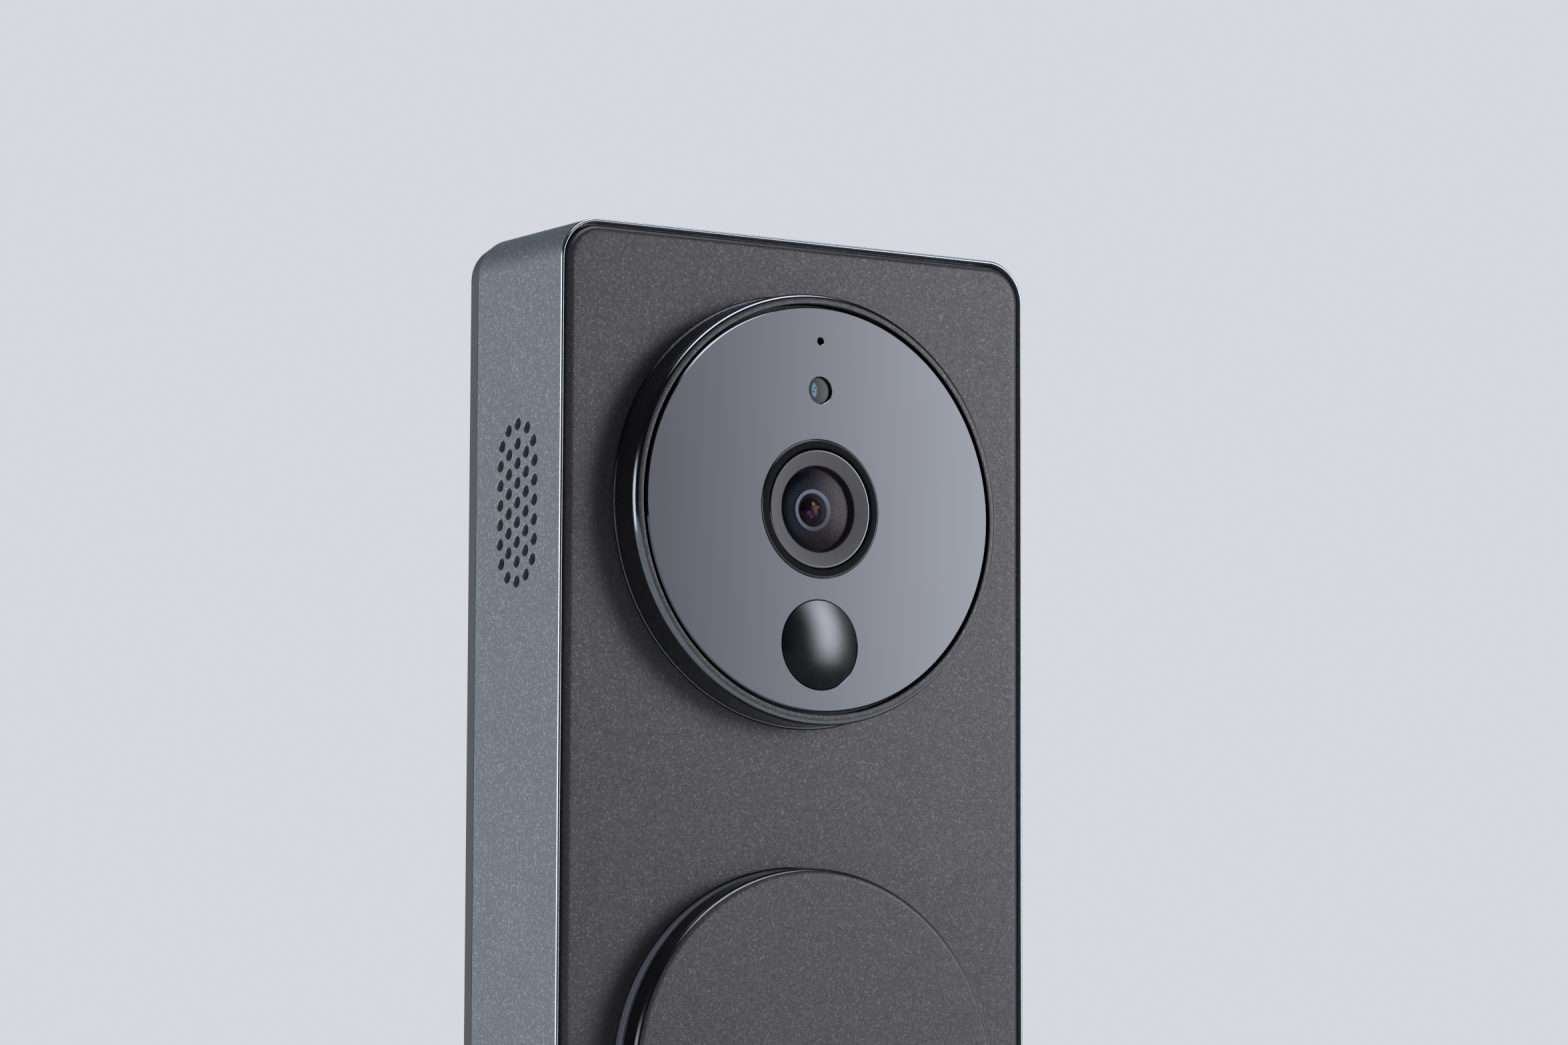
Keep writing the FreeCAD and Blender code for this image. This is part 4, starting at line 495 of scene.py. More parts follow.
# %% Finishes of the plainer pieces
# name, low tone, high tone, grain in mm, roughness, relief in mm
FINISHES = {
    # glass-filled ABS from a spark-eroded mould: an even dull dark skin
    "wall_plate_plastic": ("spark_textured_abs", "1F2123", "2B2D2F", 0.35, 0.55, 0.03),
    # zinc-plated steel: bright, slightly blue, finely drawn
    "screw_steel": ("zinc_plated_steel", "9DA1A5", "B9BDC1", 0.4, 0.3, 0.005),
    # textured ABS: a dull grey, darker than the frame it backs
    "cover_plastic": ("fine_textured_abs", "3C4044", "494D51", 0.3, 0.5, 0.02),
    # silicone rubber: black and soft-looking
    "seal_rubber": ("silicone_rubber", "101112", "1A1B1C", 0.5, 0.7, 0.01),
    # moulded nylon: black with a faint sheen, so inner parts stay quiet
    "inner_plastic": ("moulded_black_nylon", "161719", "222325", 0.4, 0.5, 0.02),
    # foam tape: the dullest black, open-pored
    "tape": ("black_foam_tape", "0A0A0A", "141414", 0.2, 0.85, 0.03),
    # fine matt polycarbonate: the flat mid grey ring round the lens
    "annulus_grey": ("matt_grey_polycarbonate", "534F50", "5B5758", 0.25, 0.5, 0.006),
    # matt polycarbonate: swallows the light that strays inside the lens
    "lens_black": ("matt_black_polycarbonate", "070708", "0D0D0F", 0.2, 0.6, 0.01),
    # moulded epoxy: the dark, slightly grainy top of a chip
    "chip_black": ("moulded_epoxy", "17181A", "242528", 0.15, 0.55, 0.01),
    # solder mask over copper: a shiny green that wavers over the tracks
    "board_green": ("green_solder_mask", "0E3B22", "16502F", 0.8, 0.3, 0.01),
    # tinned sheet steel: pale and mirror-like, with a faint rolled grain
    "can_metal": ("tin_plated_steel", "B9B8B2", "CFCEC8", 0.6, 0.28, 0.004),
    # fired ceramic: cream, smooth and slightly glossy
    "antenna_ceramic": ("fired_ceramic", "CFC8B2", "DDD7C4", 0.3, 0.4, 0.006),
    # clear epoxy over a pale chip: a small glossy warm white
    "led_clear": ("clear_epoxy", "D8D7C8", "ECEBDD", 0.5, 0.15, 0.004),
    # turned brass: warm yellow with fine tool marks
    "brass": ("turned_brass", "A8843C", "C39D50", 0.3, 0.28, 0.005),
    # nickel plate: a bright, slightly warm silver
    "terminal_nickel": ("nickel_plated_brass", "B3AFA4", "CBC8BF", 0.4, 0.22, 0.004),
    # shrunk film: a glossy blue with slow waves
    "battery_wrap": ("blue_shrink_wrap", "1C3760", "254677", 1.5, 0.25, 0.02),
    # drawn steel wire: bright and cool, polished along its length
    "spring_steel": ("drawn_spring_steel", "A4A5A8", "C1C2C5", 0.25, 0.25, 0.004),
    # acetal: an orange that is easy to find, waxy and smooth
    "pin_plastic": ("orange_acetal", "B85A14", "CB6A20", 0.4, 0.38, 0.008),
    # woven mesh behind the grille: its threads make a dull speckled black
    "mesh_fabric": ("woven_dust_mesh", "0B0B0C", "1B1B1D", 0.12, 0.8, 0.04),
    # moulded basket of the speaker: plain satin black
    "speaker_black": ("moulded_basket", "141416", "202022", 0.4, 0.45, 0.015),
}
METALS = {"screw_steel", "can_metal", "brass", "terminal_nickel", "spring_steel"}
finish = {}
for slot, values in FINISHES.items():
    finish[slot] = plain_finish(*values, Metallic=1.0 if slot in METALS else 0.0)
# smoked chrome: a dark mirror that shows only the brightest lamp, as a thin arc
smoked_chrome = plain_finish("smoked_chrome", "686C71", "74787D", 0.5, 0.12, 0.001, Metallic=1.0)
# bare aluminium where a diamond tool has cut the paint off an edge: a bright fine line
cut_edge = plain_finish("diamond_cut_aluminium", "A6ABB0", "B8BDC2", 0.3, 0.2, 0.002,
                        Metallic=1.0)
finish["frame_paint"] = frame_paint
finish["plate_paint"] = plate_paint
print("plain finishes:", len(finish))

# %% [markdown]
# ## Panel, lens, dome and light ring
#
# The camera panel is glass printed black on its back. Its own colour is nearly black, and
# what the eye sees on it is the studio, mirrored by the glass and by the gloss print behind
# it, so it has a shader coat over a glossy base. The turret's and the button's walls are
# black and lacquered, and draw the lamps as long bright lines. The lens glass is bloomed: a
# thin coating keeps nearly all light from being mirrored, and what is left is brownish. The
# dome is infrared plastic with a satin gloss that spreads each lamp to a wide soft light.
# The light ring is frosted polycarbonate and looks blue-grey when off. The bezel is a satin
# black that hardly shines, and the light window is smoked and clear.

# %% Panel, lens, dome and light ring
# name, low tone, high tone, grain, roughness and relief as above, then the shader's sockets
finish["window_black"] = plain_finish("back_printed_black_glass", "060608", "09090C", 6.0, 0.03,
                                      0.0002, IOR=1.75, Coat_Weight=1.0, Coat_Roughness=0.02,
                                      Specular_Tint=linear("E3E9FA"))
finish["turret_plastic"] = plain_finish("lacquered_gloss_black_abs", "070709", "0B0B0E", 2.0,
                                        0.25, 0.002, Coat_Weight=1.0, Coat_Roughness=0.1)
finish["bezel_black"] = plain_finish("satin_black_abs", "0B0D11", "101318", 0.25, 0.4, 0.006,
                                     Specular_IOR_Level=0.06)
finish["dome_black"] = plain_finish("infrared_black_polyethylene", "040405", "060608", 2.5, 0.2,
                                    0.0005, Specular_IOR_Level=0.12)
finish["sensor_grey"] = plain_finish("smoked_polycarbonate", "3A3B3F", "48494D", 0.4, 0.3,
                                     0.004)
finish["lens_glass"] = plain_finish("bloomed_lens_glass", "F2F4FF", "FFFFFF", 4.0, 0.01, 0.0001,
                                    Transmission_Weight=1.0, IOR=1.5,
                                    Specular_Tint=linear("2A2022"))
finish["light_ring_clear"] = plain_finish("frosted_polycarbonate", "60616A", "6C6D76", 0.5,
                                          0.45, 0.006)
finish["button_plastic"] = finish["turret_plastic"]
print("finishes in all:", len(finish))

# %% [markdown]
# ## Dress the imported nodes
#
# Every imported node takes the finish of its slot. Most lie inside the case and stay as they
# are. Nodes that are built again further down are hidden by their new piece.

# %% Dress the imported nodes
for part in frame["record"]["subparts"]:
    dressed = frame["nodes"][part["node"]]
    for place in dressed.material_slots:
        place.material = finish[part["material_slot"]]

# %% [markdown]
# ## Side frame
#
# The frame is one cast or extruded ring, sprayed with metallic paint. Its left wall is
# pierced for the speaker: five straight columns of holes, closed by a half ring of five at
# each end. The holes are real ones, because they show the dark mesh behind them. The profile
# is carried along the case's outline, the two long flat faces of the left wall are left out,
# and two filled faces with holes take their place, joined by the holes' walls. The front lip
# and the holes' rims are cut after painting, and show bare metal.

# %% Profile of the side frame
FRAME_WALL, FRAME_EDGE, LIP, LIP_EDGE = 1.6, 0.25, 0.35, 0.08
LEDGE_WALL, LEDGE_BACK, LEDGE_FRONT = 3.0, 18.7, 20.3
CASE_CORNER = 5.0 * MM
LONG_FACE, DEEP_FACE = 50 * MM, 10 * MM

back_mm, front_mm = frame_back / MM, frame_front / MM
outline = case_path(CASE_CORNER)
frame_profile = rounded([(0, back_mm, FRAME_EDGE), (0, front_mm, FRAME_EDGE),
                         (-LIP, front_mm, LIP_EDGE), (-LIP, LEDGE_FRONT),
                         (-LEDGE_WALL, LEDGE_FRONT), (-LEDGE_WALL, LEDGE_BACK),
                         (-FRAME_WALL, LEDGE_BACK), (-FRAME_WALL, back_mm)])
ring, closed = carried(outline, frame_profile)
faces = grid_faces(*ring.shape[:2], closed)
corners = ring.reshape(-1, 3)[faces]
size = np.ptp(corners, axis=1)
long_flat = (size[:, 2] > LONG_FACE) & (size[:, 1] > DEEP_FACE) & (corners[:, :, 0].mean(1) < 0)
print("flat faces left out:", long_flat.sum())

# %% Places of the grille's holes
HOLES_IN_COLUMN, COLUMN, ROW = (5, 6, 7, 6, 5), 1.93 * MM, 2.3 * MM
END_HUB, END_RING, END_STEP = 5.34 * MM, 2 * COLUMN, math.radians(33)

columns = np.arange(len(HOLES_IN_COLUMN)) - len(HOLES_IN_COLUMN) // 2
grille = [np.stack([np.full(n, c) * COLUMN, (np.arange(n) - (n - 1) / 2) * ROW], -1)
          for c, n in zip(columns, HOLES_IN_COLUMN)]
turn = columns * END_STEP
for end in (-1, 1):
    grille.append(np.stack([END_RING * np.sin(turn),
                            end * (END_HUB + END_RING * np.cos(turn))], -1))
speaker_low, speaker_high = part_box("speaker_mesh")
grille = np.concatenate(grille) + [-(speaker_low.y + speaker_high.y) / 2, turret[1]]
print("grille holes:", len(grille))

# %% Side frame with its grille
HOLE, HOLE_EDGE, HOLE_SIDES = 0.675 * MM, 0.07 * MM, 24
RIM_FROM, RIM_TO = 0.1, 0.9  # shares of a countersunk edge, between the two flat faces


def wall_face(x, chosen, hole):
    """Flat face of the left wall with the grille's holes in it."""
    flat = corners[long_flat][chosen]
    low, high = flat[:, 1:].min(0), flat[:, 1:].max(0)
    edge = np.array([[-low[0], low[1]], [-high[0], low[1]], [-high[0], high[1]],
                     [-low[0], high[1]]])
    holes = [circle_path(centre, HOLE_SIDES)([hole])[0] for centre in grille]
    points, triangles = filled([edge] + holes)
    return np.stack([np.full(len(points), x), -points[:, 0], points[:, 1]], -1), triangles


outer_x, inner_x = -reach("side_frame"), -reach("side_frame") + FRAME_WALL * MM
flat_x = corners[long_flat][:, :, 0].mean(1)
sheets = [(ring, faces[~long_flat]),
          wall_face(outer_x, int(np.argmin(flat_x)), HOLE + HOLE_EDGE),
          wall_face(inner_x, int(np.argmax(flat_x)), HOLE)]
# each hole: a countersunk rim, then a straight wall through to the inside
for centre in grille:
    walls = circle_path(centre, HOLE_SIDES)(np.array([HOLE + HOLE_EDGE, HOLE, HOLE]))
    sides = np.array([outer_x, outer_x + HOLE_EDGE, inner_x])[:, None]
    sheets.append((np.stack([np.broadcast_to(sides, walls.shape[:2]), -walls[..., 0],
                             walls[..., 1]], -1), False))


def frame_zones(centre):
    """Cut edge on the front lip and on the countersunk edge of each hole."""
    sunk = (centre[:, 0] - outer_x) / HOLE_EDGE
    near = np.abs(centre[:, 2] - turret[1]) < np.ptp(grille[:, 1])
    lip = -centre[:, 1] / MM > front_mm - FRAME_EDGE
    return lip | (near & (sunk > RIM_FROM) & (sunk < RIM_TO))


build("side_frame_shell", sheets, "doorbell", [frame_paint, cut_edge],
      ["side_frame"], frame_zones)

# %% [markdown]
# ## Front plate
#
# A flat plate with a rolled edge, set into the frame with a thin dark gap, and two large
# round openings. Its edge is a profile along the case's outline moved inwards, each opening
# has a tiny rounding of its own, and the flat between is filled. One flat fill keeps the
# paint's reflection free of ripples, which a grid bent round two holes would show.

# %% Front plate
PLATE_ROLL, PLATE_RIM, HOLE_ROUND, HOLE_RIM = 0.9, 1.5, 0.12, 0.5
WINDOW_TO_WALL, RING_FLANGE, ROUND_GAP = 1.6, 1.6, 0.15
inset = reach("front_plate") - reach("side_frame")
back_mm, front_mm = plate_back / MM, plate_front / MM
rim = rounded([(0, back_mm), (0, front_mm, PLATE_ROLL), (-PLATE_RIM, front_mm)]) + [inset, 0]
openings = [(turret, reach("camera_window") / MM + WINDOW_TO_WALL + ROUND_GAP),
            (button, reach("light_ring") / MM - RING_FLANGE + ROUND_GAP)]
edges = [(outline, rim)]
for centre, radius in openings:
    edge = rounded([(radius, back_mm), (radius, front_mm, HOLE_ROUND),
                    (radius + HOLE_RIM, front_mm)])
    edges.append((circle_path(centre), edge))
build("front_plate_shell", pierced(edges, plate_back, plate_front), "doorbell",
      [plate_paint], ["front_plate"])

# %% [markdown]
# ## Camera turret
#
# The turret is a deep round housing. Its wall is polished black, a fine chromed bead runs
# round its foot in the plate's opening, and its front ring has the flake paint. The glass
# panel lies in it with a thin dark gap all round. The panel has a polished edge that catches
# a thin line of light, and holes for the lens, the motion sensor, the light sensor and the
# microphone. Ring and finishes are one piece with zones, chosen by each face's place, as the
# real ring is one part that was masked and sprayed.

# %% Turret ring
TURRET_ROLL, TURRET_WALL, SHOULDER, FLANGE = 0.85, 1.2, 1.4, 1.6
FLANGE_THICK, RING_EDGE, BEAD = 1.5, 0.12, 0.11
PAINT_EDGE, PAINT_DEEP = 0.55, 0.08
ring_back, ring_front = (value / MM for value in depths("turret_ring"))
wall = reach("turret_ring") / MM - FLANGE
bore = wall - TURRET_WALL
bead_top = front_mm + BEAD
profile = rounded([(bore - SHOULDER, ring_back), (wall + FLANGE, ring_back),
                   (wall + FLANGE, back_mm), (wall + BEAD, back_mm),
                   (wall + BEAD, bead_top, BEAD / 2), (wall, bead_top, BEAD / 3),
                   (wall, ring_front, TURRET_ROLL),
                   (bore, ring_front, RING_EDGE), (bore, ring_back + FLANGE_THICK),
                   (bore - SHOULDER, ring_back + FLANGE_THICK)])


def from_axis(centre, axis=turret):
    """Distance of places from a turned piece's axis, in millimetres."""
    return np.hypot(centre[:, 0] - axis[0], centre[:, 2] - axis[1]) / MM


def turret_zones(centre):
    """Paint on the front ring, smoked chrome on the roll and the bead, gloss elsewhere."""
    out, deep = from_axis(centre), -centre[:, 1] / MM
    paint = (out < wall - PAINT_EDGE) & (deep > ring_front - PAINT_DEEP)
    bead = (out > wall + BEAD / 4) & (deep > back_mm + BEAD)
    roll = (deep > ring_front - TURRET_ROLL) & (out > bore + BEAD)
    return np.where(paint, 1, np.where(bead | roll, 2, 0))


build("turret_housing", [carried(circle_path(turret), profile)], "doorbell",
      [finish["turret_plastic"], plate_paint, smoked_chrome], ["turret_ring"], turret_zones)

# %% Camera panel
PANEL_EDGE, HOLE_BEVEL, BEZEL_GAP, DOME_GAP = 0.15, 0.05, 0.05, 0.1
BEZEL_FLANGE, DOME_FLANGE, MIC_UP, MIC_HOLE = 0.9, 1.2, 19.8, 0.45
LENS_POINTS, DOME_POINTS, PIPE_POINTS, MIC_POINTS = 192, 128, 64, 32
lens_out = (reach("lens_bezel_ring") / MM - BEZEL_FLANGE) + BEZEL_GAP
dome_place = middle("pir_dome")
dome_out = reach("pir_dome") / MM - DOME_FLANGE
light_place = middle("light_sensor_window")
light_out = reach("light_sensor_window") / MM
mic_place = turret + [0, MIC_UP * MM]
back_mm, front_mm = window_back / MM, window_front / MM
panel_out = reach("camera_window") / MM
edge = np.array([(panel_out, back_mm), (panel_out, front_mm - PANEL_EDGE),
                 (panel_out - PANEL_EDGE, front_mm)]) * MM
edges = [(circle_path(turret), edge)]
for centre, radius, count in ((turret, lens_out, LENS_POINTS),
                              (dome_place, dome_out + DOME_GAP, DOME_POINTS),
                              (light_place, light_out, PIPE_POINTS),
                              (mic_place, MIC_HOLE, MIC_POINTS)):
    edge = np.array([(radius, back_mm), (radius, front_mm - HOLE_BEVEL),
                     (radius + HOLE_BEVEL, front_mm)]) * MM
    edges.append((circle_path(centre, count), edge))
build("camera_panel", pierced(edges, window_back, window_front), "doorbell",
      [finish["window_black"]], ["camera_window"])

# %% [markdown]
# ## Lens
#
# From the outside in: a satin black bezel, a matt grey ring that falls towards the glass,
# the front lens, a black cup behind it, and the small second lens at the bottom of the cup.
# All are turned shapes about the turret's axis. A painted disc would look flat as soon as
# the view changes, so the front lens is a shell with a curved back, and the cup is seen
# through it with real depth.

# %% Bezel
SEAT_MORE, SEAT_DEEP, RING_GAP, CARRIER_GAP = 0.2, 0.5, 0.05, 0.2
BEZEL_EDGE, BEZEL_BORE_EDGE = 0.15, 0.15
lens_path = circle_path(turret, LENS_POINTS)
bezel_back, bezel_front = (value / MM for value in depths("lens_bezel_ring"))
bezel_out = reach("lens_bezel_ring") / MM - BEZEL_FLANGE
seat = reach("lens_face_ring") / MM + SEAT_MORE
carrier = back_mm - CARRIER_GAP
face_back = depths("lens_face_ring")[0] / MM
profile = rounded([(seat - SEAT_DEEP, bezel_back), (bezel_out + BEZEL_FLANGE, bezel_back),
                   (bezel_out + BEZEL_FLANGE, carrier), (bezel_out, carrier),
                   (bezel_out, bezel_front, BEZEL_EDGE),
                   (seat + RING_GAP, bezel_front, BEZEL_BORE_EDGE),
                   (seat + RING_GAP, face_back), (seat - SEAT_DEEP, face_back)])


def bezel_zones(centre):
    """Satin bezel with a lacquered rounding round its outside."""
    return from_axis(centre) > bezel_out - BEZEL_EDGE


build("lens_bezel", [carried(lens_path, profile)], "doorbell",
      [finish["bezel_black"], finish["turret_plastic"]], ["lens_bezel_ring"], bezel_zones)

# %% Grey ring
SEAT_EDGE, SEAT_SUNK, GREY_FALL, GREY_BORE_EDGE = 0.3, 0.05, 0.55, 0.1
GLASS_GAP, BLACK_WALL = 0.05, 0.12
glass_out = reach("lens_front_glass") / MM
face_front = bezel_front - SEAT_SUNK
profile = rounded([(glass_out + GLASS_GAP, face_back), (seat, face_back),
                   (seat, face_front, SEAT_EDGE),
                   (glass_out + GLASS_GAP, face_front - GREY_FALL, GREY_BORE_EDGE)])


def seat_zones(centre):
    """Grey ring with a bright outer edge and a blackened wall towards the glass."""
    out = from_axis(centre)
    return np.where(out > seat - SEAT_EDGE, 1, np.where(out < glass_out + BLACK_WALL, 2, 0))


build("lens_grey_ring", [carried(lens_path, profile)], "doorbell",
      [finish["annulus_grey"], smoked_chrome, finish["lens_black"]], ["lens_face_ring"],
      seat_zones)

# %% [markdown]
# ## Painted lens reflections
#
# The cup and the small lens carry painted reflections: teal to one side, brown and violet to
# the other, with a painted pale glow round the middle, and painted glints on the small lens.
# On the real lens these are reflections in several coated faces. Here they are painted on
# the cup, as a colour that runs across it and another that fades with the distance from its
# axis, so they stay in place from every side.

# %% Coated glass with painted reflections
WAVE, WAVE_DEPTH = 2.5, 0.3
NEAR_TO, FAR_FROM = -0.35, 0.7  # shares of the glass's radius, across the lens
HALO_OUT, HALO_IN, HALO_MOST, FAR_HALO = 0.85, 0.5, 0.7, 0.25
PAINTED_GLINT_OUT, PAINTED_GLINT_IN = 1.2, 0.5  # shares of a spark's radius


def painted_reflections(name, near, far, glow, lean, rough, gloss, painted_glints=()):
    """Painted reflections on a coated surface: one colour runs to another across the lens,
    and a painted glow rings its axis.

    Each painted glint is a small round spot of colour: its place from the axis and its
    radius in millimetres, and its colour.
    """
    material, tree, shader = start(name, {"Roughness": rough, **gloss})
    place = add(tree, "TexCoord").outputs["Object"]
    local = add(tree, "Mapping", {"vector_type": "TEXTURE"},
                {"Vector": place, "Location": (turret[0], 0, turret[1]),
                 "Rotation": (0, math.radians(lean), 0), "Scale": (glass_out * MM,) * 3})
    axes = add(tree, "SeparateXYZ", None, {"Vector": local.outputs[0]})
    noise = add(tree, "TexNoise", None, {"Vector": place, "Scale": per_mm(WAVE), "Detail": 1.0})
    # painted reflections: one colour runs to another across the lens, wavering a little
    wander = worked(tree, "MULTIPLY_ADD", noise.outputs["Fac"], WAVE_DEPTH, axes.outputs[0])
    share = eased(tree, wander, NEAR_TO, FAR_FROM)
    across = mixed(tree, share, linear(near), linear(far))
    flat = add(tree, "CombineXYZ", None, {"X": axes.outputs[0], "Z": axes.outputs[2]})
    out = length_of(tree, flat.outputs[0])
    # painted glow: a pale halo round the axis, fainter on the far side
    painted_halo = eased(tree, out, HALO_OUT, HALO_IN, most=HALO_MOST)
    side = add(tree, "MapRange", None, {"Value": share, "To Min": 1.0, "To Max": FAR_HALO})
    amount = worked(tree, "MULTIPLY", painted_halo, side.outputs[0])
    whole = mixed(tree, amount, across, linear(glow))
    # painted glints: small round spots of colour laid over the rest
    for right, up, size, tone in painted_glints:
        spot = add(tree, "Mapping", {"vector_type": "TEXTURE"},
                   {"Vector": place, "Scale": (size * MM, 1.0, size * MM),
                    "Location": (turret[0] + right * MM, 0, turret[1] + up * MM)})
        share = eased(tree, length_of(tree, spot.outputs[0]), PAINTED_GLINT_OUT, PAINTED_GLINT_IN)
        whole = mixed(tree, share, whole, linear(tone))
    tree.links.new(whole, shader.inputs["Base Color"])
    return material


# %% Painted reflections of the cup and of the small lens
# bloomed faces hardly mirror; the small lens still glints, in orange
BLOOMED = {"Specular IOR Level": 0.03}
GLINTING = {"Specular IOR Level": 0.2, "Specular Tint": linear("FFB46A")}
# coated glass bowl: nearly black, with painted reflections, teal to one side and brown-violet to
# the other
cup_painted_reflections = painted_reflections("coated_glass_painted_teal_violet_reflections", "0E161E", "3B2A30", "4A5360", 8.0, 0.4,
                      BLOOMED)
# ground glass step: the thin pale ring in the middle of the lens, painted lighter to one side as
# a highlight
ring_painted_highlight = painted_reflections("ground_glass_edge_painted_highlight", "B4BAC4", "5A575D", "B4BAC4", 45.0, 0.4, BLOOMED)
# inner glass: dark and cool, round the smallest lens, with a painted glow round its axis
well_painted_glow = painted_reflections("inner_glass_painted_glow", "20232D", "2C262B", "2C303A", 45.0, 0.3, BLOOMED)
# purple-coated lens: a dark eye with painted orange, violet and blue glints on it
PAINTED_GLINTS = [(0.15, 0.75, 0.22, "E8A060"), (0.85, 0.4, 0.18, "D08850"),
          (-0.45, -0.35, 0.3, "7A3C90"), (-0.1, -0.75, 0.16, "5A78B0")]
pupil_painted_glints = painted_reflections("purple_coated_glass_painted_glints", "140D18", "0C0A0E", "241028", 0.0, 0.06, GLINTING,
                        PAINTED_GLINTS)
print("sparks on the small lens:", len(PAINTED_GLINTS))

# %% Front lens
LENS_RISE, LENS_THICK, INNER_RISE, BEVEL = 0.65, 0.35, 0.45, 0.3
lens_front = depths("lens_front_glass")[1] / MM
rim_depth = lens_front - LENS_RISE
outer = crown(glass_out, rim_depth, LENS_RISE)
inner = crown(glass_out - BEVEL, rim_depth - LENS_THICK, INNER_RISE)


def rim_zone(centre):
    """Blackened edge of the front lens, glass elsewhere."""
    return (from_axis(centre) > glass_out - BEVEL) & (-centre[:, 1] / MM < rim_depth)


build("front_lens", [carried(lens_path, np.concatenate([outer[::-1], inner]) * MM, False)],
      "doorbell", [finish["lens_glass"], finish["lens_black"]],
      ["lens_front_glass"], rim_zone)

# %% Cup behind the front lens
# The bowl lies close behind the front lens, where the thick real lens makes it seem to be.
# First depths from the wall, then reaches from the axis, then how far an edge leans, then
# the radii that soften the edges.
BOWL_TOP, BOWL_FLOOR, STEP_TOP, WELL = 25.75, 25.25, 25.5, 24.95
PUPIL, WELL_OUT, STEP_OUT, BOWL_FLAT, BOWL_LIP = 1.45, 1.95, 2.4, 3.2, 0.3
SLOPE, HALF_SLOPE = 0.1, 0.05
PUPIL_ROUND, WELL_ROUND, STEP_ROUND, STEP_LIP, BOWL_ROUND = 0.03, 0.05, 0.06, 0.1, 0.4
cup_out = reach("lens_barrel") / MM
cup_back = depths("lens_barrel")[0] / MM
profile = rounded([(cup_out, cup_back), (0, cup_back), (0, WELL), (PUPIL, WELL),
                   (PUPIL + HALF_SLOPE, WELL + SLOPE, PUPIL_ROUND),
                   (WELL_OUT, STEP_TOP - SLOPE, WELL_ROUND),
                   (WELL_OUT + SLOPE, STEP_TOP, STEP_ROUND), (STEP_OUT, STEP_TOP, STEP_LIP),
                   (STEP_OUT + SLOPE, BOWL_FLOOR + HALF_SLOPE, STEP_LIP),
                   (BOWL_FLAT, BOWL_FLOOR, BOWL_ROUND),
                   (cup_out - BOWL_LIP, BOWL_TOP - HALF_SLOPE, BOWL_ROUND),
                   (cup_out, BOWL_TOP)])
STEP_MARGIN, WELL_MARGIN = 0.05, 0.03


def cup_zones(centre):
    """Painted reflections: coated bowl, pale ground step in it, and the darker well inside the
    step.
    """
    out = from_axis(centre)
    step = out > WELL_OUT - WELL_MARGIN
    return np.where(out > STEP_OUT + STEP_MARGIN, 0, np.where(step, 1, 2))


build("lens_cup", [carried(lens_path, profile)], "doorbell",
      [cup_painted_reflections, ring_painted_highlight, well_painted_glow], ["lens_barrel"], cup_zones)

# %% Small lens in the well
PUPIL_RISE, PUPIL_EDGE, PUPIL_UP, PUPIL_RIM = 0.4, 0.05, 0.02, 0.08
small = np.concatenate([[(0, WELL + PUPIL_UP), (PUPIL, WELL + PUPIL_UP)],
                        crown(PUPIL - PUPIL_EDGE, WELL + PUPIL_RIM, PUPIL_RISE)]) * MM
build("second_lens", [carried(lens_path, small, False)], "doorbell",
      [pupil_painted_glints], ["lens_inner_element"])

# %% [markdown]
# ## Motion sensor dome and light sensor
#
# The dome is a satin cap that lets infrared through: a shallow part of a sphere with a
# fine gap round its rim. A scaled ball would be an ellipsoid, so the sphere is worked out
# from the dome's own rim and height. The small hole above the lens is closed by a smoked
# light pipe a little below the panel's face, and the sensor chip's bluish glint shows through
# its left side. The chip is not built: its glint is painted as a colour in the pipe, because
# only its glint is ever seen.

# %% Motion sensor dome
DOME_WALL, DOME_SKIRT, DOME_LEDGE = 0.8, 2.4, 1.6
dome_path = circle_path(dome_place, DOME_POINTS)
dome_front = depths("pir_dome")[1] / MM
cap = crown(dome_out, front_mm, dome_front - front_mm)
shell = rounded([(0, back_mm), (dome_out - DOME_WALL, back_mm),
                 (dome_out - DOME_WALL, back_mm - DOME_SKIRT),
                 (dome_out + DOME_FLANGE, back_mm - DOME_SKIRT),
                 (dome_out + DOME_FLANGE, back_mm - DOME_LEDGE),
                 (dome_out, back_mm - DOME_LEDGE)])
build("motion_dome", [carried(dome_path, np.concatenate([shell, cap * MM]), False)], "doorbell",
      [finish["dome_black"]], ["pir_dome"])

# %% Light pipe
PIPE_SUNK, PIPE_GAP, PIPE_EDGE = 0.4, 0.05, 0.05
CHIP_LEFT, CHIP_WIDE, CHIP_HIGH, CHIP_OUT, CHIP_IN = 0.62, 0.42, 0.95, 1.1, 0.6
TRACK, TRACK_EDGE, TRACK_IN, BETWEEN = 0.45, 0.05, 0.3, 0.15


